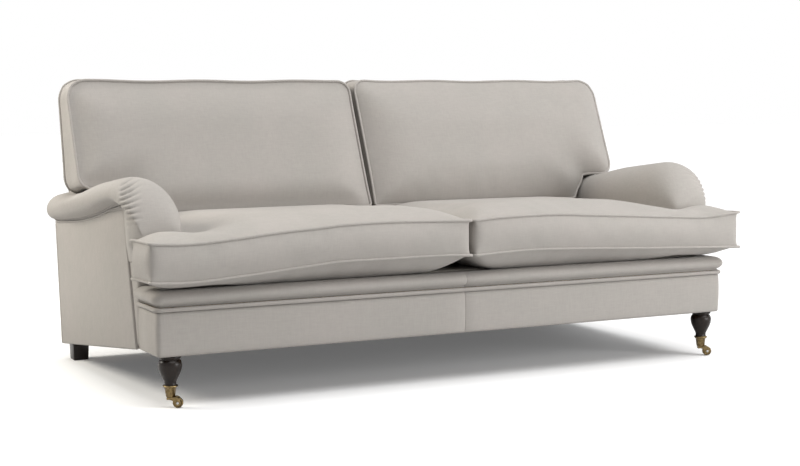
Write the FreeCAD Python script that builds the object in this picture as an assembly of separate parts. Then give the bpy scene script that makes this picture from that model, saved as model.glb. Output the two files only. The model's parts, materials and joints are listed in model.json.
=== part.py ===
import FreeCAD, Part
import math
import os

from FreeCAD import Vector

# Roll-arm sofa with loose T-shaped cushions. Lengths in millimetres, angles in degrees.
# X runs to the right seen from the front, Y to the back, Z up. While a piece is being made Y is
# measured from the face of the front border; the finished set is centred over its own footprint.

# Stance
FRAME_RAKE = 6.8
SEAT_RAKE = 1.5
BASE_BOTTOM = 142.0
FLOOR = 0.0
FRAME_BOTTOM = 0.0

# Fits between separate pieces
SEAT_GAP = 0.3
REST_GAP = 1.0
RUNNING_GAP = 0.08
TIGHT_GAP = 0.05
PARALLEL = 1e-4

# Front of the base
BASE_WIDTH = 1860.0
BASE_RETURN = 155.0
BASE_CORNER_RADIUS = 14.0
BORDER_HEIGHT = 120.0
BORDER_THICKNESS = 18.0
BASE_PIPING_RADIUS = 6.2
PIPING_CORNER = 0.6
LIP_BULGE = 14.0
LIP_DEPTH = 60.0
# Outline of the edge roll from bottom to top: share of its height, share of its bulge
LIP_PROFILE = ((0, 0), (0.25, 0.75), (0.55, 1), (0.85, 0.55), (1, -0.7))

# Timber of the base
RAIL_THICKNESS = 28.0
CLEAT_WIDTH = 24.0
CLEAT_HEIGHT = 40.0
SEAT_RAIL_WIDTH = 24.0
SEAT_RAIL_HEIGHT = 60.0
SIDE_RAIL_HEIGHT = 100.0
STRETCHER_WIDTH = 40.0
STRETCHER_HEIGHT = 55.0
BLOCK_HEIGHT = 64.0
BLOCK_LENGTHENING = 1.5
END_RAIL_SETBACK = 3.0

# Seat platform
DECK_HEIGHT = 320.0
DECK_THICKNESS = 54.0
DECK_DEPTH = 762.0
DECK_SIDE_GAP = 3.0
DECK_FRONT_GAP = 2.0
DECK_RETURN_GAP = 5.0
STRAP_THICKNESS = 2.0
STRAP_WIDTH = 60.0
SEAT_STRAP_COUNT = 9
CROSS_STRAP_COUNT = 4
BACK_STRAP_COUNT = 4
DUST_COVER_THICKNESS = 1.2

# Arms
SEAT_WIDTH = 1600.0
PANEL_SPAN = 1876.0
PANEL_THICKNESS = 12.0
ARM_GAP = 10.0
ARM_HEIGHT = 475.0
ARM_INNER_RADIUS = 110.0
ARM_ROLL_RADIUS = 45.0
ARM_TUCK_ANGLE = 75.0
ARM_BACK_SETBACK = 30.0
ARM_FRONT_LEAN = 7.2
ARM_NOSE_DEPTH = 160.0
ARM_NOSE_START = 50.0
ARM_LEAN_LEVEL = 345.0
ARM_PAD_THICKNESS = 26.0
ARM_TOP_PAD = 50.0
ARM_PAD_BOTTOM = 180.0
NOSE_BOTTOM = 345.0
NOSE_ANGLES = (0.0, 32.0, 60.0, 82.0)
NOSE_MIDDLE = 0.46
NOSE_NARROWING = 0.40
NOSE_DROP = 0.85
APRON_SETBACK = 3.0
APRON_LAP = 35.0
APRON_FLOOR_GAP = 2.0
APRON_SIDE_GAP = 4.0
ARM_BOARD_THICKNESS = 24.4
ARM_POST_WIDTH = 70.0
ARM_POST_FRONT = 66.0

# Back
BACK_SETOUT = 28.0
BACK_HEIGHT = 780.0
BACK_WIDTH = 1780.0
BACK_CORNER_RADIUS = 60.0
BACK_PANEL_THICKNESS = 16.0
BACK_POST_WIDTH = 38.0
BACK_POST_DEPTH = 72.0
BACK_RAIL_DEPTH = 40.0
BACK_RAIL_HEIGHT = 55.0
BACK_TOP_PAD = 25.0
BACK_PAD_GAP = 5.0
BACK_PAD_SIDE_GAP = 2.0

# Seat cushions
CUSHION_GAP = 6.0
CUSHION_OVERHANG = 50.0
CUSHION_EAR_SPAN = 1926.0
CUSHION_EAR_DEPTH = 155.0
CUSHION_BACK_GAP = 2.0
CUSHION_SIDE_GAP = 6.0
CUSHION_BOXING = 106.0
CUSHION_LOWER_CROWN = 28.0
CUSHION_UPPER_CROWN = 40.0
CUSHION_CORNER_REACH = 30.0
CUSHION_DRAW_IN = 1.8
# Run of the crown in from the front, ear side, ear back, body side, back and middle
CUSHION_CROWN_RUNS = (56.0, 48.0, 30.0, 130.0, 150.0, 150.0)
# Shares of the run at which the steps of a crown lie, for a high and a low crown
HIGH_CROWN_STEPS = (0, 0.3, 1)
LOW_CROWN_STEPS = (0, 1)
PIPING_RADIUS = 5.0
COVER_THICKNESS = 20.0

# Back cushions
BACK_CUSHION_HEIGHT = 402.0
BACK_CUSHION_FOOT = 181.0
BACK_CUSHION_FRONT_LEAN = 23.0
BACK_CUSHION_SETBACK = 19.0
BACK_CUSHION_REAR_LEAN = 10.6
BACK_CUSHION_EAR_SPAN = 1914.0
BACK_CUSHION_FRONT_CROWN = 42.0
BACK_CUSHION_REAR_CROWN = 22.0
BACK_CUSHION_TOP_REACH = 60.0
BACK_CUSHION_EAR_ROUNDING = 0.26
BACK_CUSHION_LOW_REACH = 28.0
# Run of the crown in from the bottom, body side, ear bottom, ear side, top and middle
BACK_CUSHION_CROWN_RUNS = (50.0, 90.0, 60.0, 80.0, 100.0, 130.0)

# Front legs and castors
LEG_SPAN = 1768.0
LEG_SETBACK = 36.0
LEG_FLANGE_RADIUS = 30.0
LEG_FLANGE_HEIGHT = 8.0
LEG_SHOULDER_RADIUS = 26.0
LEG_SHOULDER_HEIGHT = 131.0
LEG_BELLY_RADIUS = 32.0
LEG_BELLY_HEIGHT = 117.0
LEG_LOWER_RADIUS = 29.0
LEG_LOWER_HEIGHT = 98.0
LEG_NECK_RADIUS = 16.0
LEG_NECK_HEIGHT = 71.0
LEG_PIN_RADIUS = 8.0
LEG_PIN_LENGTH = 36.0
CUP_TOP = 62.0
CUP_BOTTOM = 30.0
CUP_RIM_RADIUS = 21.0
CUP_BEAD = 5.0
CUP_TOP_RADIUS = 16.5
CUP_BOTTOM_RADIUS = 12.5
CUP_WALL = 2.8
CUP_PLATE = 4.0
CUP_HOLLOW = 6.0
PINTLE_RADIUS = 4.0
WHEEL_RADIUS = 14.0
WHEEL_WIDTH = 14.0
WHEEL_TRAIL = 20.0
AXLE_RADIUS = 2.5
HORN_ARM = 4.0
HORN_EYE = 7.0
HORN_CROWN = 9.0
HORN_BRIDGE = 7.0
WHEEL_SIDE_GAP = 1.0
CASTOR_TURN = -27.0

# Rear legs
REAR_LEG_SPAN = 1780.0
REAR_LEG_INSET = 35.0
REAR_LEG_TOP = 50.0
REAR_LEG_FOOT = 46.0
REAR_PIN_WIDTH = 12.0
REAR_PIN_LENGTH = 40.0

# Sizes that follow from the ones above
ARM_FRONT = BASE_RETURN + ARM_GAP
BODY_DEPTH = DECK_DEPTH + BACK_SETOUT
ARM_LENGTH = BODY_DEPTH - ARM_BACK_SETBACK
REAR_LEG_SETBACK = BODY_DEPTH - REAR_LEG_INSET
CUSHION_DEPTH = DECK_DEPTH + CUSHION_OVERHANG - CUSHION_BACK_GAP
BACK_CUSHION_REAR = DECK_DEPTH + BACK_CUSHION_SETBACK
BACK_CUSHION_FRONT = BACK_CUSHION_REAR - BACK_CUSHION_FOOT
BASE_EDGE = BASE_WIDTH / 2
PANEL_EDGE = PANEL_SPAN / 2
INSIDE_ARM = SEAT_WIDTH / 2
BORDER_TOP = BASE_BOTTOM + BORDER_HEIGHT
LIP_BOTTOM = BORDER_TOP + 2 * (BASE_PIPING_RADIUS + SEAT_GAP)
RAIL_FRONT = BORDER_THICKNESS + SEAT_GAP
RAIL_BACK = RAIL_FRONT + RAIL_THICKNESS
RAIL_EDGE = BASE_EDGE - RAIL_FRONT
LIP_INNER = BASE_EDGE - LIP_DEPTH
TIMBER_EDGE = PANEL_EDGE - PANEL_THICKNESS - SEAT_GAP
ARM_CAVITY = INSIDE_ARM + ARM_PAD_THICKNESS
SEAT_RAIL_INNER = ARM_CAVITY + SEAT_GAP
SEAT_RAIL_OUTER = SEAT_RAIL_INNER + SEAT_RAIL_WIDTH
POST_INNER = ARM_CAVITY + 2 * SEAT_GAP
POST_OUTER = POST_INNER + BACK_POST_WIDTH
BACK_PANEL_FRONT = BODY_DEPTH - BACK_PANEL_THICKNESS
PANEL_LENGTH = BACK_PANEL_FRONT - SEAT_GAP
PANEL_TOP = ARM_HEIGHT - ARM_ROLL_RADIUS * (1 + math.sin(math.radians(ARM_TUCK_ANGLE))) - SEAT_GAP
POST_REAR = BACK_PANEL_FRONT - SEAT_GAP
POST_FRONT = POST_REAR - BACK_POST_DEPTH
ARM_BOARD_TOP = ARM_HEIGHT - ARM_TOP_PAD - SEAT_GAP
ARM_BOARD_BOTTOM = ARM_BOARD_TOP - ARM_BOARD_THICKNESS
STRAP_TOP = -DECK_THICKNESS - SEAT_GAP
CROSS_TOP = STRAP_TOP - STRAP_THICKNESS - SEAT_GAP
SEAT_RAIL_TOP = CROSS_TOP - STRAP_THICKNESS - SEAT_GAP
BACK_RAIL_TOP = BACK_HEIGHT - BACK_TOP_PAD - SEAT_GAP
BACK_POST_TOP = BACK_RAIL_TOP - BACK_RAIL_HEIGHT - SEAT_GAP
SEAT_CUSHION_TOP = 2 * SEAT_GAP + CUSHION_LOWER_CROWN + CUSHION_BOXING + CUSHION_UPPER_CROWN
LEG_X = LEG_SPAN / 2
REAR_LEG_X = REAR_LEG_SPAN / 2


def tangent(angle):
    return math.tan(math.radians(angle))


def cosine(angle):
    return math.cos(math.radians(angle))


def back_cushion_bottom():
    """Height at which the back cushions rest on the crown of the seat cushions."""
    return (
        DECK_HEIGHT
        - BACK_CUSHION_FRONT * tangent(SEAT_RAKE)
        + SEAT_CUSHION_TOP / cosine(SEAT_RAKE)
    )


def ear_height(depth, lean):
    """Height at which a leaning face of a back cushion meets the top of the arm."""
    slope = tangent(lean) * tangent(FRAME_RAKE)
    arm = BASE_BOTTOM + (ARM_HEIGHT + REST_GAP) / cosine(FRAME_RAKE)
    level = arm - (depth - ARM_FRONT) * tangent(FRAME_RAKE)
    return (level + back_cushion_bottom() * slope) / (1 + slope)


def front_rail_depth(level):
    """Depth along the seat, at a level of it, that just clears the front rail."""
    return RAIL_BACK + SEAT_GAP - level * tangent(SEAT_RAKE)


def post_depth(level):
    """Depth along the seat, at a level of it, of the front faces of the back posts."""
    slope = tangent(FRAME_RAKE)
    seat = math.radians(SEAT_RAKE)
    rise = DECK_HEIGHT - BASE_BOTTOM + level * math.cos(seat)
    reach = ARM_FRONT + POST_FRONT / cosine(FRAME_RAKE) + rise * slope - level * math.sin(seat)
    return reach / (math.cos(seat) + math.sin(seat) * slope)


def back_pad_bottom():
    """Height up the body at which the inside back clears the ends of the seat straps."""
    seat = math.radians(SEAT_RAKE)
    rake = math.radians(FRAME_RAKE)
    level = DECK_HEIGHT - post_depth(STRAP_TOP) * math.sin(seat) + STRAP_TOP * math.cos(seat)
    return (level - BASE_BOTTOM + POST_FRONT * math.sin(rake)) / math.cos(rake) + BACK_PAD_GAP


def box(x, y, z):
    """Block from pairs of limits along each axis."""
    return Part.makeBox(x[1] - x[0], y[1] - y[0], z[1] - z[0], Vector(x[0], y[0], z[0]))


def rod(radius, start, end):
    return Part.makeCylinder(radius, (end - start).Length, start, end - start)


def side_prism(points, x):
    """Flat outline given by depth and height, drawn out between two places along X."""
    corners = [Vector(x[0], depth, height) for depth, height in points]
    face = Part.Face(Part.makePolygon(corners + corners[:1]))
    return face.extrude(Vector(x[1] - x[0], 0, 0))


def raked(shape):
    """Sets a body piece, made square, on its slope about the lower front corner of the arm."""
    turned = shape.copy()
    turned.rotate(Vector(0, 0, 0), Vector(1, 0, 0), -FRAME_RAKE)
    turned.translate(Vector(0, ARM_FRONT, BASE_BOTTOM))
    return turned


def on_seat(shape):
    """Sets a seat piece, made level under height zero, on the slope of the seat platform."""
    turned = shape.copy()
    turned.rotate(Vector(0, 0, 0), Vector(1, 0, 0), -SEAT_RAKE)
    turned.translate(Vector(0, 0, DECK_HEIGHT))
    return turned


def both_sides(name, right):
    left = right.mirror(Vector(0, 0, 0), Vector(1, 0, 0))
    return {name + "_left": left, name + "_right": right}


def along(count, first, last):
    pitch = (last - first) / (count - 1)
    return [first + pitch * index for index in range(count)]


def leg_at(side):
    return Vector(side * LEG_X, LEG_SETBACK, FLOOR)


def front_leg():
    """Turned leg: round pin into the rail, flange, belly, neck and a tapered tenon for the cup."""
    pin_top = BASE_BOTTOM + LEG_PIN_LENGTH
    tenon_foot = CUP_BOTTOM + CUP_PLATE + CUP_HOLLOW
    shoulder = Vector(LEG_SHOULDER_RADIUS, 0, LEG_SHOULDER_HEIGHT)
    belly = Vector(LEG_BELLY_RADIUS, 0, LEG_BELLY_HEIGHT)
    lower = Vector(LEG_LOWER_RADIUS, 0, LEG_LOWER_HEIGHT)
    top = [
        Vector(0, 0, pin_top),
        Vector(LEG_PIN_RADIUS, 0, pin_top),
        Vector(LEG_PIN_RADIUS, 0, BASE_BOTTOM),
        Vector(LEG_FLANGE_RADIUS, 0, BASE_BOTTOM),
        Vector(LEG_FLANGE_RADIUS, 0, BASE_BOTTOM - LEG_FLANGE_HEIGHT),
        shoulder,
    ]
    foot = [
        lower,
        Vector(LEG_NECK_RADIUS, 0, LEG_NECK_HEIGHT),
        Vector(LEG_NECK_RADIUS, 0, CUP_TOP),
        Vector(CUP_TOP_RADIUS - CUP_WALL - SEAT_GAP, 0, CUP_TOP),
        Vector(CUP_BOTTOM_RADIUS - CUP_WALL, 0, tenon_foot),
        Vector(0, 0, tenon_foot),
        top[0],
    ]
    edges = [Part.makeLine(a, b) for a, b in zip(top, top[1:])]
    edges.append(Part.Arc(shoulder, belly, lower).toShape())
    edges += [Part.makeLine(a, b) for a, b in zip(foot, foot[1:])]
    return Part.Face(Part.Wire(edges)).revolve(Vector(0, 0, 0), Vector(0, 0, 1), 360)


def leg_pin_hole(side):
    foot = leg_at(side) + Vector(0, 0, BASE_BOTTOM)
    return rod(LEG_PIN_RADIUS + TIGHT_GAP, foot, foot + Vector(0, 0, LEG_PIN_LENGTH + SEAT_GAP))


def castor_cup():
    """Tapered brass socket with a beaded rim, a floor plate and a bore for the pintle."""
    floor = CUP_BOTTOM + CUP_PLATE
    rim = CUP_RIM_RADIUS - CUP_BEAD / 2
    bead = Vector(0, 0, CUP_TOP - CUP_BEAD / 2)
    outer = Part.makeCone(
        CUP_BOTTOM_RADIUS, CUP_TOP_RADIUS, CUP_TOP - CUP_BOTTOM, Vector(0, 0, CUP_BOTTOM)
    )
    upper = Part.makeCone(CUP_RIM_RADIUS, rim, CUP_BEAD / 2, bead)
    lower = Part.makeCone(CUP_RIM_RADIUS, rim, CUP_BEAD / 2, bead, Vector(0, 0, -1))
    socket = Part.makeCone(
        CUP_BOTTOM_RADIUS - CUP_WALL, CUP_TOP_RADIUS - CUP_WALL, CUP_TOP - floor, Vector(0, 0, floor)
    )
    bore = rod(PINTLE_RADIUS + RUNNING_GAP, Vector(0, 0, CUP_BOTTOM), Vector(0, 0, floor))
    return outer.fuse([upper, lower]).cut(socket).cut(bore)


def castor_horn():
    """Swivelling fork: two curved cheeks, a bridge over the wheel and an upright pintle."""
    top = CUP_BOTTOM - SEAT_GAP
    low = top - HORN_BRIDGE
    cheek = WHEEL_WIDTH / 2 + WHEEL_SIDE_GAP
    axle = WHEEL_RADIUS
    outer = WHEEL_TRAIL + HORN_EYE
    inner = WHEEL_TRAIL - HORN_EYE

    def at(x, z):
        return Vector(x, cheek, z)

    back = at((HORN_CROWN + outer) / 2 + HORN_BRIDGE, (top + axle) / 2 + HORN_ARM)
    hollow = at(inner / 2, (low + axle) / 2 + HORN_ARM / 2)
    edges = [
        Part.makeLine(at(-HORN_CROWN, top), at(HORN_CROWN, top)),
        Part.Arc(at(HORN_CROWN, top), back, at(outer, axle)).toShape(),
        Part.Arc(at(outer, axle), at(WHEEL_TRAIL, axle - HORN_EYE), at(inner, axle)).toShape(),
        Part.Arc(at(inner, axle), hollow, at(-HORN_CROWN, low)).toShape(),
        Part.makeLine(at(-HORN_CROWN, low), at(-HORN_CROWN, top)),
    ]
    plate = Part.Face(Part.Wire(edges)).extrude(Vector(0, HORN_ARM, 0))
    bridge = box((-HORN_CROWN, PINTLE_RADIUS), (-cheek, cheek), (low, top))
    horn = plate.fuse(plate.mirror(Vector(0, 0, 0), Vector(0, 1, 0))).fuse(bridge)
    pintle = rod(PINTLE_RADIUS, Vector(0, 0, low), Vector(0, 0, CUP_BOTTOM + CUP_PLATE))
    bore = axle_rod(AXLE_RADIUS + TIGHT_GAP, cheek + HORN_ARM)
    return horn.fuse(pintle).cut(bore).removeSplitter()


def axle_rod(radius, reach):
    middle = Vector(WHEEL_TRAIL, 0, WHEEL_RADIUS)
    return rod(radius, middle - Vector(0, reach, 0), middle + Vector(0, reach, 0))


def castor_axle():
    return axle_rod(AXLE_RADIUS, WHEEL_WIDTH / 2 + WHEEL_SIDE_GAP + HORN_ARM)


def castor_wheel():
    return axle_rod(WHEEL_RADIUS, WHEEL_WIDTH / 2).cut(axle_rod(AXLE_RADIUS + RUNNING_GAP, WHEEL_WIDTH))


def set_castor(shape, side):
    turned = shape.copy()
    turned.rotate(Vector(0, 0, 0), Vector(0, 0, 1), CASTOR_TURN)
    turned.translate(leg_at(side))
    return turned


def set_leg(shape, side):
    moved = shape.copy()
    moved.translate(leg_at(side))
    return moved


def legs_and_castors():
    nodes = {
        "front_legs": Part.makeCompound([set_leg(front_leg(), side) for side in (-1, 1)]),
        "castor_cups": Part.makeCompound([set_leg(castor_cup(), side) for side in (-1, 1)]),
    }
    for side, end in ((-1, "_left"), (1, "_right")):
        nodes["castor_horn" + end] = set_castor(castor_horn(), side)
        nodes["castor_axle" + end] = set_castor(castor_axle(), side)
        nodes["castor_wheel" + end] = set_castor(castor_wheel(), side)
    return nodes


def rear_leg_centre():
    """Middle of the top of the right rear leg."""
    rake = math.radians(FRAME_RAKE)
    depth = ARM_FRONT + REAR_LEG_SETBACK * math.cos(rake)
    return Vector(REAR_LEG_X, depth, BASE_BOTTOM - REAR_LEG_SETBACK * math.sin(rake))


def rear_pin(gap):
    """Upright square pin that holds a rear leg in its corner block."""
    top = rear_leg_centre()
    half = REAR_PIN_WIDTH / 2 + gap
    reach = REAR_PIN_LENGTH + gap
    return box((top.x - half, top.x + half), (top.y - half, top.y + half), (top.z - half, top.z + reach))


def square(half, height, centre):
    corners = [(-half, -half), (half, -half), (half, half), (-half, half), (-half, -half)]
    return Part.makePolygon([Vector(centre.x + x, centre.y + y, height) for x, y in corners])


def rear_leg():
    """Square leg tapering to the foot, its top cut to the slope of the body."""
    centre = rear_leg_centre()
    high = centre.z + REAR_LEG_TOP
    spread = REAR_LEG_TOP / 2 + (REAR_LEG_TOP - REAR_LEG_FOOT) / 2 * REAR_LEG_TOP / centre.z
    foot = square(REAR_LEG_FOOT / 2, FLOOR, centre)
    leg = Part.makeLoft([foot, square(spread, high, centre)], True, True)
    above = raked(box((0, PANEL_EDGE), (0, 2 * BODY_DEPTH), (FRAME_BOTTOM - SEAT_GAP, BACK_HEIGHT)))
    return leg.cut(above).fuse(rear_pin(0)).removeSplitter()


def front_timber():
    """Front rail, its short returns, the cleat for the webbing and the glue blocks."""
    top = LIP_BOTTOM - SEAT_GAP
    rail = box((-RAIL_EDGE, RAIL_EDGE), (RAIL_FRONT, RAIL_BACK), (BASE_BOTTOM, top))
    for side in (-1, 1):
        rail = rail.cut(leg_pin_hole(side))
    inner = RAIL_EDGE - RAIL_THICKNESS
    end_rail = box(
        (inner, RAIL_EDGE), (RAIL_BACK + SEAT_GAP, BASE_RETURN - END_RAIL_SETBACK), (BASE_BOTTOM, top)
    )
    start = front_rail_depth(CROSS_TOP - CLEAT_HEIGHT)
    cleat = on_seat(
        box(
            (-SEAT_RAIL_INNER + SEAT_GAP, SEAT_RAIL_INNER - SEAT_GAP),
            (start, start + CLEAT_WIDTH),
            (CROSS_TOP - CLEAT_HEIGHT, STRAP_TOP - STRAP_THICKNESS - SEAT_GAP),
        )
    )
    nodes = {"front_rail": rail, "front_cleat": cleat}
    nodes.update(both_sides("front_end_rail", end_rail))
    return nodes


def glue_blocks():
    inner = RAIL_EDGE - RAIL_THICKNESS - SEAT_GAP
    near = RAIL_BACK + SEAT_GAP
    reach = inner - SEAT_RAIL_OUTER - SEAT_GAP
    far = near + BLOCK_LENGTHENING * reach
    corners = [(inner, near), (inner - reach, near), (inner, far), (inner, near)]
    face = Part.Face(Part.makePolygon([Vector(x, y, BASE_BOTTOM) for x, y in corners]))
    front = face.extrude(Vector(0, 0, BLOCK_HEIGHT))
    rear = raked(
        box(
            (POST_OUTER + SEAT_GAP, TIMBER_EDGE - RAIL_THICKNESS - SEAT_GAP),
            (POST_FRONT, POST_REAR),
            (FRAME_BOTTOM, FRAME_BOTTOM + BLOCK_HEIGHT),
        )
    ).cut(rear_pin(SEAT_GAP))
    blocks = [front, rear]
    blocks += [block.mirror(Vector(0, 0, 0), Vector(1, 0, 0)) for block in blocks]
    return Part.makeCompound(blocks)


def seat_timber():
    """Rails that carry the webbing, parallel to the seat, and the stretcher under it."""
    side_low = SEAT_RAIL_TOP - SEAT_RAIL_HEIGHT
    side = on_seat(
        box(
            (SEAT_RAIL_INNER, SEAT_RAIL_OUTER),
            (front_rail_depth(side_low), post_depth(side_low) - SEAT_GAP),
            (side_low, SEAT_RAIL_TOP),
        )
    )
    rear_low = CROSS_TOP - SEAT_RAIL_HEIGHT
    rear_face = post_depth(rear_low) - SEAT_GAP
    rear = on_seat(
        box(
            (-SEAT_RAIL_INNER + SEAT_GAP, SEAT_RAIL_INNER - SEAT_GAP),
            (rear_face - RAIL_THICKNESS, rear_face),
            (rear_low, CROSS_TOP),
        )
    )
    half = STRETCHER_WIDTH / 2
    stretcher = raked(
        box((-half, half), (-ARM_FRONT, POST_FRONT), (FRAME_BOTTOM, FRAME_BOTTOM + STRETCHER_HEIGHT))
    ).cut(box((-half, half), (-ARM_FRONT, RAIL_BACK + SEAT_GAP), (FLOOR, DECK_HEIGHT)))
    nodes = {"seat_back_rail": rear, "centre_stretcher": stretcher}
    nodes.update(both_sides("seat_side_rail", side))
    return nodes


def arm_timber():
    """Front post, top board and lower rail of each arm."""
    post_back = ARM_POST_FRONT + RAIL_THICKNESS
    post = box(
        (TIMBER_EDGE - ARM_POST_WIDTH, TIMBER_EDGE),
        (ARM_POST_FRONT + SEAT_GAP, post_back),
        (FRAME_BOTTOM, ARM_BOARD_BOTTOM - SEAT_GAP),
    )
    board = box(
        (ARM_CAVITY + SEAT_GAP, TIMBER_EDGE),
        (ARM_POST_FRONT + SEAT_GAP, POST_FRONT - STRAP_THICKNESS - 2 * SEAT_GAP),
        (ARM_BOARD_BOTTOM, ARM_BOARD_TOP),
    )
    rail = box(
        (TIMBER_EDGE - RAIL_THICKNESS, TIMBER_EDGE),
        (post_back + SEAT_GAP, POST_REAR),
        (FRAME_BOTTOM, FRAME_BOTTOM + SIDE_RAIL_HEIGHT),
    )
    nodes = both_sides("arm_post", raked(post))
    nodes.update(both_sides("arm_board", raked(board)))
    nodes.update(both_sides("side_rail", raked(rail)))
    return nodes


def back_timber():
    """Two outer posts, a middle post, a bottom rail and a top rail."""
    post = box(
        (POST_INNER, POST_OUTER), (POST_FRONT, POST_REAR), (FRAME_BOTTOM, BACK_POST_TOP)
    )
    depth = (POST_FRONT + SEAT_GAP, POST_FRONT + BACK_RAIL_DEPTH)
    bottom_top = FRAME_BOTTOM + SIDE_RAIL_HEIGHT
    edge = POST_INNER - SEAT_GAP
    bottom = box((-edge, edge), depth, (FRAME_BOTTOM, bottom_top))
    half = STRETCHER_WIDTH / 2
    middle = box((-half, half), depth, (bottom_top + SEAT_GAP, BACK_POST_TOP))
    top = box((-POST_OUTER, POST_OUTER), depth, (BACK_POST_TOP + SEAT_GAP, BACK_RAIL_TOP))
    nodes = {
        "back_bottom_rail": raked(bottom),
        "back_post_centre": raked(middle),
        "back_top_rail": raked(top),
    }
    nodes.update(both_sides("back_post", raked(post)))
    return nodes


def webbing():
    """Seat straps front to back, cross straps under them, and straps across the back."""
    half = STRAP_WIDTH / 2
    start = front_rail_depth(STRAP_TOP - STRAP_THICKNESS)
    end = post_depth(CROSS_TOP - SEAT_RAIL_HEIGHT) - SEAT_GAP
    reach = INSIDE_ARM - STRAP_WIDTH
    seat = [
        box((x - half, x + half), (start, end), (STRAP_TOP - STRAP_THICKNESS, STRAP_TOP))
        for x in along(SEAT_STRAP_COUNT, -reach, reach)
    ]
    cross = [
        box(
            (-SEAT_RAIL_OUTER, SEAT_RAIL_OUTER),
            (y - half, y + half),
            (CROSS_TOP - STRAP_THICKNESS, CROSS_TOP),
        )
        for y in along(CROSS_STRAP_COUNT, start + CLEAT_WIDTH + STRAP_WIDTH, DECK_DEPTH - STRAP_WIDTH)
    ]
    front = POST_FRONT - SEAT_GAP - STRAP_THICKNESS
    back = [
        box((-POST_OUTER, POST_OUTER), (front, POST_FRONT - SEAT_GAP), (z - half, z + half))
        for z in along(BACK_STRAP_COUNT, back_pad_bottom() + STRAP_WIDTH, BACK_POST_TOP - STRAP_WIDTH)
    ]
    return {
        "seat_webbing": on_seat(Part.makeCompound(seat)),
        "cross_webbing": on_seat(Part.makeCompound(cross)),
        "back_webbing": raked(Part.makeCompound(back)),
    }


def seat_deck():
    """Padded platform between the arms, widened in front of them."""
    edge = INSIDE_ARM - DECK_SIDE_GAP
    near = LIP_DEPTH + DECK_FRONT_GAP
    deck = box((-edge, edge), (near, DECK_DEPTH), (-DECK_THICKNESS, 0))
    wide = LIP_INNER - DECK_FRONT_GAP
    front = box((-wide, wide), (near, BASE_RETURN - DECK_RETURN_GAP), (-DECK_THICKNESS, 0))
    return on_seat(deck.fuse(front).removeSplitter())


def base_path(outset, height):
    """Open run along the left return, the front and the right return of the base."""
    edge = BASE_EDGE + outset
    radius = BASE_CORNER_RADIUS + outset
    near = -outset
    slant = radius * (1 - math.sqrt(0.5))

    def at(x, y):
        return Vector(x, y, height)

    return [
        Part.makeLine(at(-edge, BASE_RETURN), at(-edge, near + radius)),
        Part.Arc(
            at(-edge, near + radius), at(-edge + slant, near + slant), at(-edge + radius, near)
        ).toShape(),
        Part.makeLine(at(-edge + radius, near), at(edge - radius, near)),
        Part.Arc(
            at(edge - radius, near), at(edge - slant, near + slant), at(edge, near + radius)
        ).toShape(),
        Part.makeLine(at(edge, near + radius), at(edge, BASE_RETURN)),
    ]


def base_ring(outset, height, depth):
    """Closed U-shaped outline: the outer run of the base and a square inner run behind it."""
    outer = base_path(outset, height)
    edge = BASE_EDGE + outset
    inner = BASE_EDGE - depth
    corners = [(edge, BASE_RETURN), (inner, BASE_RETURN), (inner, depth)]
    corners += [(-x, y) for x, y in reversed(corners)]
    points = [Vector(x, y, height) for x, y in corners]
    return Part.Wire(outer + [Part.makeLine(a, b) for a, b in zip(points, points[1:])])


def front_border():
    return Part.Face(base_ring(0, BASE_BOTTOM, BORDER_THICKNESS)).extrude(Vector(0, 0, BORDER_HEIGHT))


def base_piping():
    """Cord run round the front of the base between the border and the lip."""
    height = BORDER_TOP + SEAT_GAP + BASE_PIPING_RADIUS
    turn = BASE_CORNER_RADIUS * PIPING_CORNER
    right = [(BASE_EDGE - turn, 0), (BASE_EDGE, turn), (BASE_EDGE, BASE_RETURN)]
    left = [(-x, y) for x, y in reversed(right)]
    path = Part.makePolygon([Vector(x, y, height) for x, y in left + right])
    start = Vector(-BASE_EDGE, BASE_RETURN, height)
    ring = Part.Wire(Part.makeCircle(BASE_PIPING_RADIUS, start, Vector(0, -1, 0)))
    return path.makePipeShell([ring], True, False, 1)


def front_lip():
    """Soft edge roll that bulges past the border and rounds over on top."""
    top = DECK_HEIGHT - LIP_DEPTH * tangent(SEAT_RAKE) - 2 * SEAT_GAP
    height = top - LIP_BOTTOM
    rings = [
        base_ring(swell * LIP_BULGE, LIP_BOTTOM + share * height, LIP_DEPTH)
        for share, swell in LIP_PROFILE
    ]
    return Part.makeLoft(rings, True, True)


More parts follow.
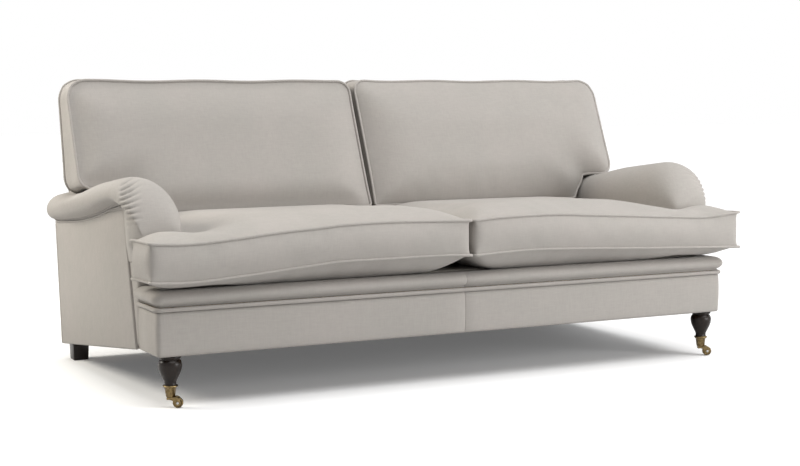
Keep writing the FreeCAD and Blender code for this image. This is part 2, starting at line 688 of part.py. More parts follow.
def arm_section(depth, bottom, outer, lean=0.0, width=1.0, rise=1.0):
    """Outline of the arm at one depth: inner face, rounded top, scroll and its underside."""
    middle = INSIDE_ARM + NOSE_MIDDLE * (PANEL_EDGE + ARM_ROLL_RADIUS - INSIDE_ARM)
    roll_z = ARM_HEIGHT - ARM_ROLL_RADIUS
    inner_z = ARM_HEIGHT - ARM_INNER_RADIUS
    half = math.sqrt(0.5)
    under = math.radians(ARM_TUCK_ANGLE)
    under_x = PANEL_EDGE + ARM_ROLL_RADIUS * math.cos(under)
    under_z = roll_z - ARM_ROLL_RADIUS * math.sin(under)

    def at(x, z):
        height = bottom + (z - bottom) * rise
        back = (height - ARM_LEAN_LEVEL) * tangent(lean)
        return Vector(middle + (x - middle) * width, depth + back, height)

    top = INSIDE_ARM + ARM_INNER_RADIUS
    turn = ARM_INNER_RADIUS * (1 - half)
    bend = ARM_ROLL_RADIUS * half
    low = ARM_ROLL_RADIUS * math.cos(under / 2), ARM_ROLL_RADIUS * math.sin(under / 2)
    edges = [
        Part.makeLine(at(INSIDE_ARM, bottom), at(INSIDE_ARM, inner_z)),
        Part.Arc(
            at(INSIDE_ARM, inner_z), at(INSIDE_ARM + turn, ARM_HEIGHT - turn), at(top, ARM_HEIGHT)
        ).toShape(),
        Part.makeLine(at(top, ARM_HEIGHT), at(PANEL_EDGE, ARM_HEIGHT)),
        Part.Arc(
            at(PANEL_EDGE, ARM_HEIGHT),
            at(PANEL_EDGE + bend, roll_z + bend),
            at(PANEL_EDGE + ARM_ROLL_RADIUS, roll_z),
        ).toShape(),
        Part.Arc(
            at(PANEL_EDGE + ARM_ROLL_RADIUS, roll_z),
            at(PANEL_EDGE + low[0], roll_z - low[1]),
            at(under_x, under_z),
        ).toShape(),
        Part.makeLine(at(under_x, under_z), at(outer, under_z)),
        Part.makeLine(at(outer, under_z), at(outer, bottom)),
        Part.makeLine(at(outer, bottom), at(INSIDE_ARM, bottom)),
    ]
    return Part.Wire(edges)


def arm_pad():
    """Upholstery of the right arm: scroll and domed front, hollow for the timber inside."""
    outer = PANEL_EDGE - PANEL_THICKNESS - SEAT_GAP
    section = arm_section(ARM_NOSE_START, ARM_PAD_BOTTOM, outer)
    body = Part.Face(section).extrude(Vector(0, ARM_LENGTH - ARM_NOSE_START, 0))
    nose = []
    for angle in NOSE_ANGLES:
        turn = math.radians(angle)
        fall = 1 - math.cos(turn)
        depth = ARM_NOSE_START - ARM_NOSE_DEPTH * math.sin(turn)
        lean = ARM_FRONT_LEAN * math.sin(turn)
        width = 1 - NOSE_NARROWING * fall
        nose.append(arm_section(depth, NOSE_BOTTOM, outer, lean, width, 1 - NOSE_DROP * fall))
    front = Part.makeLoft(nose, True, True)
    lean = tangent(ARM_FRONT_LEAN)
    high = NOSE_BOTTOM + APRON_LAP
    low = FRAME_BOTTOM + APRON_FLOOR_GAP
    apron = side_prism(
        [
            (APRON_SETBACK + low * lean, low),
            (ARM_POST_FRONT, low),
            (ARM_POST_FRONT, high),
            (APRON_SETBACK + high * lean, high),
        ],
        (SEAT_RAIL_OUTER + APRON_SIDE_GAP, TIMBER_EDGE),
    )
    cavity = box(
        (ARM_CAVITY, TIMBER_EDGE + 2 * SEAT_GAP),
        (ARM_POST_FRONT, ARM_LENGTH - BACK_PANEL_THICKNESS),
        (0, ARM_HEIGHT - ARM_TOP_PAD),
    )
    post_room = box(
        (0, POST_OUTER + SEAT_GAP),
        (POST_FRONT - STRAP_THICKNESS - 3 * SEAT_GAP, BODY_DEPTH),
        (0, BACK_HEIGHT),
    )
    rail_room = box(
        (0, POST_OUTER + SEAT_GAP),
        (POST_FRONT - 2 * RAIL_THICKNESS, BODY_DEPTH),
        (0, back_pad_bottom()),
    )
    pad = body.fuse(front).fuse(apron).removeSplitter()
    return raked(pad.cut(cavity).cut(post_room).cut(rail_room))


def arm_panel():
    """Flat outer side of the right arm, tucked up under the scroll."""
    lean = PANEL_TOP * tangent(ARM_FRONT_LEAN)
    corners = [(0, 0), (PANEL_LENGTH, 0), (PANEL_LENGTH, PANEL_TOP), (lean, PANEL_TOP)]
    return raked(side_prism(corners, (PANEL_EDGE - PANEL_THICKNESS, PANEL_EDGE)))


def back_outline(low_edge, shoulder, depth):
    """Upright outline of the back: straight below the arms, rounded at the top corners."""
    edge = BACK_WIDTH / 2
    round_start = BACK_HEIGHT - BACK_CORNER_RADIUS
    slant = BACK_CORNER_RADIUS * (1 - math.sqrt(0.5))

    def at(x, z):
        return Vector(x, depth[0], z)

    right = [at(low_edge, 0), at(low_edge, shoulder), at(edge, shoulder), at(edge, round_start)]
    left = [at(-point.x, point.z) for point in reversed(right)]
    top_right = at(edge - BACK_CORNER_RADIUS, BACK_HEIGHT)
    top_left = at(BACK_CORNER_RADIUS - edge, BACK_HEIGHT)
    edges = [Part.makeLine(a, b) for a, b in zip(right, right[1:])]
    edges.append(Part.Arc(right[-1], at(edge - slant, BACK_HEIGHT - slant), top_right).toShape())
    edges.append(Part.makeLine(top_right, top_left))
    edges.append(Part.Arc(top_left, at(slant - edge, BACK_HEIGHT - slant), left[0]).toShape())
    edges += [Part.makeLine(a, b) for a, b in zip(left, left[1:])]
    edges.append(Part.makeLine(left[-1], right[0]))
    return Part.Face(Part.Wire(edges)).extrude(Vector(0, depth[1] - depth[0], 0))


def back_pad():
    """Inside back with its wings over the arms, hollow for the posts and rails."""
    edge = INSIDE_ARM - BACK_PAD_SIDE_GAP
    block = raked(back_outline(edge, ARM_HEIGHT + REST_GAP, (0, POST_REAR + SEAT_GAP)))
    behind = (BACK_CUSHION_REAR_CROWN + SEAT_GAP) / cosine(BACK_CUSHION_REAR_LEAN)
    low = Vector(0, BACK_CUSHION_REAR + behind, back_cushion_bottom())
    slope = math.radians(BACK_CUSHION_REAR_LEAN)
    up = Vector(0, math.sin(slope), math.cos(slope))
    ahead = [low + up * BACK_HEIGHT, low - up * BACK_HEIGHT]
    room = side_prism(
        [(point.y, point.z) for point in ahead] + [(-BODY_DEPTH, FLOOR), (-BODY_DEPTH, 2 * BACK_HEIGHT)],
        (-PANEL_EDGE, PANEL_EDGE),
    )
    under = raked(box((-PANEL_EDGE, PANEL_EDGE), (0, BODY_DEPTH), (-BACK_HEIGHT, back_pad_bottom())))
    cavity = raked(
        box(
            (-POST_OUTER - SEAT_GAP, POST_OUTER + SEAT_GAP),
            (POST_FRONT - STRAP_THICKNESS - 2 * SEAT_GAP, BODY_DEPTH),
            (0, BACK_HEIGHT - BACK_TOP_PAD),
        )
    )
    return block.cut(room).cut(under).cut(cavity)


def outside_back():
    return raked(back_outline(PANEL_EDGE, PANEL_TOP, (BACK_PANEL_FRONT, BODY_DEPTH)))


def dust_cover():
    """Cloth stapled under the frame, narrow between the front ends and wide under the arms."""
    low = FRAME_BOTTOM - SEAT_GAP - DUST_COVER_THICKNESS
    level = (low, FRAME_BOTTOM - SEAT_GAP)
    narrow = box((-SEAT_RAIL_INNER, SEAT_RAIL_INNER), (-ARM_FRONT, POST_FRONT), level)
    wide = box((-TIMBER_EDGE, TIMBER_EDGE), (ARM_POST_FRONT, POST_FRONT), level)
    sheet = raked(narrow.fuse(wide).removeSplitter())
    return sheet.cut(
        box((-BASE_EDGE, BASE_EDGE), (-ARM_FRONT, RAIL_BACK + SEAT_GAP), (FLOOR, DECK_HEIGHT))
    )


def swung(direction, angle):
    turn = math.radians(angle)
    return (
        direction[0] * math.cos(turn) - direction[1] * math.sin(turn),
        direction[0] * math.sin(turn) + direction[1] * math.cos(turn),
    )


def heading(start, end):
    length = math.dist(start, end)
    return ((end[0] - start[0]) / length, (end[1] - start[1]) / length)


def step(point, direction, length):
    return (point[0] + direction[0] * length, point[1] + direction[1] * length)


def soft_outline(points, reaches, bows, place):
    """Closed outline with rounded corners, each side drawn in between its two corners."""
    count = len(points)
    edges = []
    waists = []
    for index, corner in enumerate(points):
        after = points[(index + 1) % count]
        along_side = heading(corner, after)
        half = math.dist(corner, after) / 2
        middle = step(corner, along_side, half)
        waists.append(step(middle, swung(along_side, 90), half * tangent(bows[index])))
    for index, corner in enumerate(points):
        arriving = heading(waists[index - 1], corner)
        leaving = heading(corner, waists[index])
        half_turn = math.acos(arriving[0] * leaving[0] + arriving[1] * leaving[1]) / 2
        radius = reaches[index] / math.tan(half_turn)
        start = step(corner, arriving, -reaches[index])
        end = step(corner, leaving, reaches[index])
        nearest = step(corner, heading(arriving, leaving), radius / math.cos(half_turn) - radius)
        edges.append(Part.makeLine(place(waists[index - 1]), place(start)))
        edges.append(Part.Arc(place(start), place(nearest), place(end)).toShape())
        edges.append(Part.makeLine(place(end), place(waists[index])))
    return edges


def strip(low, high):
    """Wall between two matching edges, a true plane where they are parallel lines."""
    start, end = low.firstVertex().Point, low.lastVertex().Point
    over_start, over_end = high.firstVertex().Point, high.lastVertex().Point
    straight = low.Curve.TypeId == "Part::GeomLine"
    if straight and (end - start).cross(over_end - over_start).Length < PARALLEL:
        return Part.Face(Part.makePolygon([start, end, over_end, over_start, start]))
    return Part.makeRuledSurface(low, high)


def stacked(rings):
    """Solid walled between closed runs of matching edges, with flat ends."""
    faces = [Part.Face(Part.Wire(rings[0])), Part.Face(Part.Wire(rings[-1]))]
    for low, high in zip(rings, rings[1:]):
        faces += [strip(a, b) for a, b in zip(low, high)]
    shell = Part.makeShell(faces)
    shell.sewShape()
    return Part.makeSolid(shell)


def flat_outline(points, place):
    corners = [place(point) for point in points]
    return [Part.makeLine(a, b) for a, b in zip(corners, corners[1:] + corners[:1])]


def inset(points, amounts):
    """Moves each side of a right-angled outline inward by its own amount."""
    moved = []
    for index, corner in enumerate(points):
        before = swung(heading(points[index - 1], corner), 90)
        after = swung(heading(corner, points[(index + 1) % len(points)]), 90)
        moved.append(step(step(corner, before, amounts[index - 1]), after, amounts[index]))
    return moved


def crown(points, insets, reaches, bows, height, place, shares):
    """Domed face of a cushion raised in steps over its seam outline."""
    rings = []
    for share in shares:
        ring = inset(points, [amount * share for amount in insets])
        lift = height * (1 - (1 - share) ** 2)
        rings.append(soft_outline(ring, reaches, bows, lambda point: place(point, lift)))
    return stacked(rings)


def seat_cushion(skin):
    """Right seat cushion, inset by a skin thickness; a skinned one is the flat block inside."""
    near = -CUSHION_OVERHANG
    inner = CUSHION_GAP / 2 + PIPING_RADIUS
    body = INSIDE_ARM - CUSHION_SIDE_GAP - PIPING_RADIUS
    ear = CUSHION_EAR_SPAN / 2
    ear_back = near + CUSHION_EAR_DEPTH
    back = near + CUSHION_DEPTH
    corners = [(inner, near), (ear, near), (ear, ear_back), (body, ear_back), (body, back), (inner, back)]
    low = SEAT_GAP + CUSHION_LOWER_CROWN
    high = low + CUSHION_BOXING

    def place_low(point, lift=0):
        return Vector(point[0], point[1], low - lift)

    def place_high(point, lift=0):
        return Vector(point[0], point[1], high + lift)

    points = inset(corners, [skin] * 6)
    if skin > 0:
        return Part.Face(Part.Wire(flat_outline(points, place_low))).extrude(Vector(0, 0, CUSHION_BOXING))
    reaches = [CUSHION_CORNER_REACH] * 6
    bows = [CUSHION_DRAW_IN] * 6
    seam = soft_outline(points, reaches, bows, place_low)
    block = Part.Face(Part.Wire(seam)).extrude(Vector(0, 0, CUSHION_BOXING))
    runs = CUSHION_CROWN_RUNS
    under = crown(points, runs, reaches, bows, CUSHION_LOWER_CROWN, place_low, LOW_CROWN_STEPS)
    over = crown(points, runs, reaches, bows, CUSHION_UPPER_CROWN, place_high, HIGH_CROWN_STEPS)
    return block.fuse([under, over])


def back_plane(depth, lean, side):
    """Placement on one leaning face of the back cushion; lift is away from the cushion."""
    slope = math.radians(lean)
    up = Vector(0, math.sin(slope), math.cos(slope))
    out = Vector(0, side * math.cos(slope), -side * math.sin(slope))
    origin = Vector(0, depth, back_cushion_bottom())

    def place(point, lift=0):
        return origin + Vector(point[0], 0, 0) + up * point[1] + out * lift

    return place


def back_cushion(skin):
    """Right back cushion: two leaning outlines, a wedge of boxing and two crowned faces."""
    inner = CUSHION_GAP / 2 + PIPING_RADIUS
    body = INSIDE_ARM - CUSHION_SIDE_GAP - 2 * PIPING_RADIUS
    ear = BACK_CUSHION_EAR_SPAN / 2
    faces = (
        (-1, BACK_CUSHION_FRONT, BACK_CUSHION_FRONT_LEAN),
        (1, BACK_CUSHION_REAR, BACK_CUSHION_REAR_LEAN),
    )
    ear_reach = BACK_CUSHION_EAR_ROUNDING * (ear - body)
    reaches = [BACK_CUSHION_TOP_REACH, BACK_CUSHION_LOW_REACH, BACK_CUSHION_LOW_REACH]
    reaches += [ear_reach, BACK_CUSHION_TOP_REACH, BACK_CUSHION_TOP_REACH]
    bows = [0, 0, 0, 0, CUSHION_DRAW_IN, CUSHION_DRAW_IN]
    steps = {
        -1: (BACK_CUSHION_FRONT_CROWN, HIGH_CROWN_STEPS),
        1: (BACK_CUSHION_REAR_CROWN, LOW_CROWN_STEPS),
    }
    seams = []
    domes = []
    for side, depth, lean in faces:
        share = 1 / math.cos(math.radians(lean))
        notch = (ear_height(depth, lean) - back_cushion_bottom()) * share
        top = BACK_CUSHION_HEIGHT * share
        corners = [(inner, 0), (body, 0), (body, notch), (ear, notch), (ear, top), (inner, top)]
        points = inset(corners, [skin] * 6)
        place = back_plane(depth, lean, side)
        if skin > 0:
            seams.append(flat_outline(points, place))
            continue
        rise, shares = steps[side]
        seams.append(soft_outline(points, reaches, bows, place))
        domes.append(crown(points, BACK_CUSHION_CROWN_RUNS, reaches, bows, rise, place, shares))
    wedge = stacked(seams)
    return wedge if skin > 0 else wedge.fuse(domes)


def cushion_pieces(name, make, set_down):
    """Padded cover and the core inside it, for both sides."""
    cover = make(0).cut(make(COVER_THICKNESS))
    nodes = both_sides(name + "_cover", set_down(cover))
    nodes.update(both_sides(name + "_core", set_down(make(COVER_THICKNESS + SEAT_GAP))))
    return nodes


def build():
    nodes = legs_and_castors()
    nodes["rear_legs"] = Part.makeCompound(list(both_sides("rear_leg", rear_leg()).values()))
    nodes.update(front_timber())
    nodes["corner_blocks"] = glue_blocks()
    nodes.update(seat_timber())
    nodes.update(arm_timber())
    nodes.update(back_timber())
    nodes.update(webbing())
    nodes["seat_deck"] = seat_deck()
    nodes["front_border"] = front_border()
    nodes["base_piping"] = base_piping()
    nodes["front_lip"] = front_lip()
    nodes.update(both_sides("arm_pad", arm_pad()))
    nodes.update(both_sides("arm_panel", arm_panel()))
    nodes["back_pad"] = back_pad()
    nodes["outside_back"] = outside_back()
    nodes["dust_cover"] = dust_cover()
    nodes.update(cushion_pieces("seat_cushion", seat_cushion, on_seat))
    nodes.update(cushion_pieces("back_cushion", back_cushion, lambda shape: shape))
    return nodes


def write(nodes):
    os.makedirs("parts", exist_ok=True)
    limits = Part.makeCompound(list(nodes.values())).optimalBoundingBox()
    centre = Vector(0, -(limits.YMin + limits.YMax) / 2, 0)
    for name, shape in nodes.items():
        shape.translate(centre)
        shape.exportStep("parts/" + name + ".step")
    print("depth moved by", centre.y, "limits", limits)


write(build())
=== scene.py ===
import json
import math

import bmesh
import bpy
from mathutils import Matrix, Vector, noise


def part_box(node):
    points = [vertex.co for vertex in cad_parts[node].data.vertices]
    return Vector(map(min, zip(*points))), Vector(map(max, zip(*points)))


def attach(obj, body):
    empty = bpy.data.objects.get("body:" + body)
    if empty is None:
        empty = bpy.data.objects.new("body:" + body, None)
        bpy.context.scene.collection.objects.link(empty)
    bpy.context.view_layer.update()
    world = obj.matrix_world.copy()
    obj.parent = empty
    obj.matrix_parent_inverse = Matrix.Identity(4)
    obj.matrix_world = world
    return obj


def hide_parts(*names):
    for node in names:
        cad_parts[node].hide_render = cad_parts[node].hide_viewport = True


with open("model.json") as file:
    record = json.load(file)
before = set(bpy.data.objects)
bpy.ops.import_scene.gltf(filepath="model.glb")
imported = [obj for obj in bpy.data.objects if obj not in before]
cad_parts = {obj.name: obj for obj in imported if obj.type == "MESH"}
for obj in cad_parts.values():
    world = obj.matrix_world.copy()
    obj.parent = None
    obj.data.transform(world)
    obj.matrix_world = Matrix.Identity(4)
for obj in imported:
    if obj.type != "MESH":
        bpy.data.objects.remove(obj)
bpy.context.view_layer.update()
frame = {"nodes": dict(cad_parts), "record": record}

bl_info = {
    "name": "Roll-arm sofa",
    "version": (1, 0, 0),
    "blender": (4, 2, 0),
    "location": "View3D > Sidebar > Sofa",
    "description": "Dresses a roll-arm sofa frame with linen cushions, scrolled arms and castor legs",
    "category": "Object",
}

# Axes of the sofa, in metres: depth is counted from the face of the front border
BORDER_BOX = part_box("front_border")
FRONT_FACE, BASE_BOTTOM = BORDER_BOX[0][1], BORDER_BOX[0][2]
BASE_EDGE, BORDER_TOP = BORDER_BOX[1][0], BORDER_BOX[1][2]
BASE_RETURN = BORDER_BOX[1][1] - FRONT_FACE
LIP_BOTTOM, LIP_TOP = (corner[2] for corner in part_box("front_lip"))
ARM_FRONT = 0.165
FRAME_RAKE = math.radians(6.8)
SEAT_RAKE = math.radians(1.5)
DECK_HEIGHT = 0.320
SEAT_AXES = Matrix.Translation((0, FRONT_FACE, DECK_HEIGHT)) @ Matrix.Rotation(-SEAT_RAKE, 4, "X")
BODY_AXES = Matrix.Translation((0, FRONT_FACE + ARM_FRONT, BASE_BOTTOM)) @ Matrix.Rotation(
    -FRAME_RAKE, 4, "X"
)
SIDES = (("left", -1), ("right", 1))
MATERIALS = {}

# Mesh settings
BEVEL_ANGLE = math.radians(30)
FLAT_ANGLE = math.radians(1)
MERGE_DISTANCE = 1e-5
FINE_MERGE = 1e-6
CORD_RESOLUTION = 3
TURN_STEPS = 48


def length_setting(name, description, default):
    return bpy.props.FloatProperty(name=name, description=description, default=default, unit="LENGTH")


def colour_setting(name, description, default):
    return bpy.props.FloatVectorProperty(
        name=name, description=description, default=default, subtype="COLOR"
    )


def angle_setting(name, description, degrees):
    return bpy.props.FloatProperty(
        name=name, description=description, default=math.radians(degrees), subtype="ANGLE"
    )


class SofaCushionSettings(bpy.types.PropertyGroup):
    seat_boxing: length_setting("Seat boxing", "Height of the seat cushions' side band", 0.106)
    seat_crown: length_setting("Seat crown", "Rise of the seat cushions over their seams", 0.036)
    seat_lift: length_setting("Seat lift", "Rise of the front seams towards the middle", 0.024)
    back_crown: length_setting("Back crown", "Rise of the back cushions' front faces", 0.042)
    draw_in: length_setting("Draw-in", "How far the sides pull in between corners", 0.008)
    piping: length_setting("Piping", "Radius of the piping cord on the cushions", 0.0042)
    cell: length_setting("Cell", "Size of the cloth mesh cells", 0.011)
    pressure: bpy.props.FloatProperty(
        name="Pressure", description="Filling pressure during the cloth simulation", default=3.0
    )


class SofaColourSettings(bpy.types.PropertyGroup):
    linen: colour_setting("Linen", "Main cloth", (0.405, 0.380, 0.354))
    legs: colour_setting("Legs", "Stained leg wood", (0.011, 0.0065, 0.0045))
    brass: colour_setting("Brass", "Castor metal", (0.20, 0.145, 0.07))


class SofaStageSettings(bpy.types.PropertyGroup):
    lens: bpy.props.FloatProperty(
        name="Lens", description="Camera focal length", default=69.17, unit="CAMERA"
    )
    camera: bpy.props.FloatVectorProperty(
        name="Camera", description="Camera place", default=(-2.1843, -3.8544, 0.8252), subtype="TRANSLATION"
    )
    yaw: angle_setting("Yaw", "Camera turn to the right", 27.107)
    pitch: angle_setting("Pitch", "Camera tilt down", 5.052)
    roll: angle_setting("Roll", "Camera roll", -0.230)


def settings():
    return bpy.context.scene.sofa_cushions


def smoothstep(low, high, value):
    share = min(1.0, max(0.0, (value - low) / (high - low)))
    return share * share * (3 - 2 * share)


def window(limits, value):
    """Rises from nought to one between the first two limits and falls between the last two."""
    start, full, leave, end = limits
    return smoothstep(start, full, value) * (1 - smoothstep(leave, end, value))


def new_piece(name, bm, material, smooth=True):
    """Mesh object at the origin made from a bmesh, which is freed."""
    mesh = bpy.data.meshes.new(name)
    bm.to_mesh(mesh)
    bm.free()
    for face in mesh.polygons:
        face.use_smooth = smooth
    piece = bpy.data.objects.new(name, mesh)
    bpy.context.scene.collection.objects.link(piece)
    piece.data.materials.append(material)
    return piece


def set_piece(piece, body, slot, *nodes):
    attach(piece, body)
    if nodes:
        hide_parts(*nodes)
    return piece


def add_subdivision(piece, levels):
    modifier = piece.modifiers.new("Subdivision", "SUBSURF")
    modifier.levels = levels
    modifier.render_levels = levels


def add_bevel(piece, width, segments):
    modifier = piece.modifiers.new("Bevel", "BEVEL")
    modifier.width = width
    modifier.segments = segments
    modifier.limit_method = "ANGLE"
    modifier.angle_limit = BEVEL_ANGLE
    modifier.harden_normals = False


def softened_copy(name, node, body, slot, width, segments=3):
    """Copy that stands for a CAD node, with its seams merged, flat faces joined and edges rounded."""
    bm = bmesh.new()
    bm.from_mesh(frame["nodes"][node].data)
    bmesh.ops.transform(bm, matrix=frame["nodes"][node].matrix_world, verts=bm.verts)
    bmesh.ops.remove_doubles(bm, verts=bm.verts, dist=MERGE_DISTANCE)
    bmesh.ops.dissolve_limit(bm, angle_limit=FLAT_ANGLE, verts=bm.verts, edges=bm.edges)
    piece = new_piece(name, bm, MATERIALS[slot])
    add_bevel(piece, width, segments)
    return set_piece(piece, body, slot, node)


def mirrored(bm, sign):
    """Turns a right-hand shape into the left-hand one where the sign is negative."""
    if sign < 0:
        bmesh.ops.scale(bm, vec=(-1, 1, 1), verts=bm.verts)
        bmesh.ops.reverse_faces(bm, faces=bm.faces)


def smoothed(bm, verts):
    bmesh.ops.smooth_vert(bm, verts=verts, factor=0.5, use_axis_x=True, use_axis_y=True, use_axis_z=True)


def soft_block(name, sign, size, place, slope, rounding):
    """Block of padded cloth on one side of the sofa, leaning back by the slope."""
    bm = bmesh.new()
    bmesh.ops.create_cube(bm, size=1)
    bmesh.ops.scale(bm, vec=size, verts=bm.verts)
    for vert in bm.verts:
        vert.co.y += vert.co.z * slope
    bmesh.ops.translate(bm, vec=place + Vector((0, FRONT_FACE, 0)), verts=bm.verts)
    bmesh.ops.bevel(bm, geom=bm.edges, offset=rounding, affect="EDGES", segments=4, profile=0.5, material=-1)
    mirrored(bm, sign)
    block = new_piece(name, bm, MATERIALS["linen"])
    set_piece(block, "frame", "linen")
    return block


def loft(bm, rings):
    """Bridges successive closed runs of points and fills both ends."""
    loops = []
    for points in rings:
        verts = [bm.verts.new(point) for point in points]
        edges = [bm.edges.new((a, b)) for a, b in zip(verts, verts[1:] + verts[:1])]
        loops.append(edges)
    for low, high in zip(loops, loops[1:]):
        bmesh.ops.bridge_loops(bm, edges=low + high)
    bmesh.ops.contextual_create(bm, geom=loops[0])
    bmesh.ops.contextual_create(bm, geom=loops[-1])
    bmesh.ops.recalc_face_normals(bm, faces=bm.faces)


def tube(name, runs, radius, cyclic):
    """Round linen cord along one or more runs of points, as a mesh."""
    curve = bpy.data.curves.new(name, "CURVE")
    curve.dimensions = "3D"
    curve.bevel_depth = radius
    curve.bevel_resolution = CORD_RESOLUTION
    curve.use_fill_caps = True
    for points in runs:
        spline = curve.splines.new("POLY")
        spline.points.add(len(points) - 1)
        for spline_point, point in zip(spline.points, points):
            spline_point.co = (*point, 1)
        spline.use_cyclic_u = cyclic
    cord = bpy.data.objects.new(name, curve)
    bpy.context.scene.collection.objects.link(cord)
    bpy.context.view_layer.update()
    mesh = bpy.data.meshes.new_from_object(cord.evaluated_get(bpy.context.evaluated_depsgraph_get()))
    bpy.data.objects.remove(cord)
    bm = bmesh.new()
    bm.from_mesh(mesh)
    bpy.data.meshes.remove(mesh)
    bmesh.ops.remove_doubles(bm, verts=bm.verts, dist=FINE_MERGE)
    bmesh.ops.recalc_face_normals(bm, faces=bm.faces)
    return new_piece(name, bm, MATERIALS["linen"])


def t_block(xs, ys, ear_row, height, cell):
    """T-shaped block cut into even cells; the edges of its two faces are marked as seams."""
    bm = bmesh.new()
    verts = {}
    for i, x in enumerate(xs):
        for j, y in enumerate(ys):
            if i < 2 or j in (ear_row, ear_row + 1):
                verts[i, j] = bm.verts.new((x, y, 0))
    for i in (0, 1):
        for j in (0, 1):
            if i == 0 or j == ear_row:
                bm.faces.new((verts[i, j], verts[i + 1, j], verts[i + 1, j + 1], verts[i, j + 1]))
    top = bmesh.ops.extrude_face_region(bm, geom=list(bm.faces), use_keep_orig=True)
    raised = [item for item in top["geom"] if isinstance(item, bmesh.types.BMVert)]
    bmesh.ops.translate(bm, verts=raised, vec=(0, 0, height))
    bmesh.ops.recalc_face_normals(bm, faces=bm.faces)
    limits = [(0, pair) for pair in zip(xs, xs[1:])]
    limits += [(1, pair) for pair in zip(ys, ys[1:])] + [(2, (0, height))]
    for axis, (low, high) in limits:
        edges = [
            edge
            for edge in bm.edges
            if abs(edge.verts[0].co[axis] - edge.verts[1].co[axis]) > 1e-4
            and low - 1e-5 < min(edge.verts[0].co[axis], edge.verts[1].co[axis])
            and max(edge.verts[0].co[axis], edge.verts[1].co[axis]) < high + 1e-5
        ]
        cuts = max(1, round((high - low) / cell) - 1)
        bmesh.ops.subdivide_edges(bm, edges=edges, cuts=cuts, use_grid_fill=True)
    for edge in bm.edges:
        tilts = [abs(face.normal.z) for face in edge.link_faces]
        edge.seam = len(tilts) == 2 and abs(tilts[0] - tilts[1]) > 0.5
    return bm


def t_sides(xs, ys, ear_row, runs):
    """Sides of the T as (start, end, run of the crown)."""
    inner, body, ear = xs
    first, second = (ear, body) if ear_row == 0 else (body, ear)
    across = (inner, first, first, second, second, inner)
    along = (ys[0], ys[0], ys[1], ys[1], ys[2], ys[2])
    corners = [Vector(corner) for corner in zip(across, along)]
    return list(zip(corners, corners[1:] + corners[:1], runs))


def nearest_on(side, point):
    """Share along a side of the place nearest to a point, and the distance to it."""
    start, end, run = side
    along = end - start
    share = min(1.0, max(0.0, (point - start).dot(along) / along.length_squared))
    return share, (point - start - along * share).length


def crown_share(sides, point):
    share = min(nearest_on(side, point)[1] / side[2] for side in sides)
    share = min(1.0, share)
    return 1 - (1 - share) ** 2


def drawn_in(sides, point, amount, reach=0.12):
    """Moves a point inward near the middle of each side, least at the corners."""
    moved = point.copy()
    for side in sides:
        share, distance = nearest_on(side, point)
        along = (side[1] - side[0]).normalized()
        inward = Vector((-along.y, along.x))
        strength = (1 - abs(2 * share - 1) ** 5) * max(0.0, 1 - distance / reach) ** 2
        moved += inward * (amount * strength)
    return moved


def rounded(point, corner, radius):
    """Moves a point of the square round a corner into the quarter disc of that radius."""
    place, first, second = corner
    centre = place + (first + second) * radius
    offset = point - centre
    across = -offset.dot(first)
    over = -offset.dot(second)
    if across <= 0 or over <= 0:
        return point
    return centre + offset * (max(across, over) / offset.length)


RIPPLE_DEPTH = 0.0012
RIPPLE_SCALE = 22
FILLING_STEPS = 20
COVER_CLOTH = {
    "quality": 4,
    "mass": 0.3,
    "tension_stiffness": 12,
    "compression_stiffness": 12,
    "shear_stiffness": 4,
    "bending_stiffness": 2.0,
    "shrink_min": -0.004,
}
SMOOTH_ROUNDS = 6


def puffed(piece, cap, seed):
    """Fills a cushion with pressure while its seams stay put; no point moves further than the cap."""
    mesh = piece.data
    seams = piece.vertex_groups.new(name="seams")
    held = {index for edge in mesh.edges if edge.use_seam for index in edge.vertices}
    seams.add(sorted(held), 1.0, "REPLACE")
    start = [vert.co.copy() for vert in mesh.vertices]
    for vert in mesh.vertices:
        if vert.index not in held:
            ripple = noise.noise(vert.co * RIPPLE_SCALE + Vector((seed, 0, 0)))
            vert.co += vert.normal * RIPPLE_DEPTH * ripple
    cloth = piece.modifiers.new("Filling", "CLOTH")
    for setting, value in COVER_CLOTH.items():
        setattr(cloth.settings, setting, value)
    cloth.settings.use_pressure = True
    cloth.settings.uniform_pressure_force = settings().pressure
    cloth.settings.vertex_group_mass = seams.name
    cloth.settings.effector_weights.gravity = 0
    cloth.collision_settings.use_collision = False
    cloth.point_cache.frame_start = 1
    cloth.point_cache.frame_end = FILLING_STEPS
    scene = bpy.context.scene
    for step in range(1, FILLING_STEPS + 1):
        scene.frame_set(step)
    graph = bpy.context.evaluated_depsgraph_get()
    result = [vert.co.copy() for vert in piece.evaluated_get(graph).data.vertices]
    piece.modifiers.remove(cloth)
    scene.frame_set(1)
    for vert, old, new in zip(mesh.vertices, start, result):
        move = new - old
        vert.co = old + move * (min(1.0, cap / move.length) if move.length > 0 else 0)
    bm = bmesh.new()
    bm.from_mesh(mesh)
    bm.verts.ensure_lookup_table()
    free = [vert for vert in bm.verts if vert.index not in held]
    for _ in range(SMOOTH_ROUNDS):
        smoothed(bm, free)
    bm.to_mesh(mesh)
    bm.free()
    mesh.update()


def seam_runs(piece):
    """Closed runs of points along the marked seams of a cushion."""
    bm = bmesh.new()
    bm.from_mesh(piece.data)
    left = {edge: edge.verts for edge in bm.edges if edge.seam}
    runs = []
    while left:
        start, vert = left.pop(next(iter(left)))
        run = [start.co.copy()]
        while vert is not start:
            run.append(vert.co.copy())
            edge = next(other for other in vert.link_edges if other in left)
            del left[edge]
            vert = edge.other_vert(vert)
        runs.append(run)
    bm.free()
    return runs


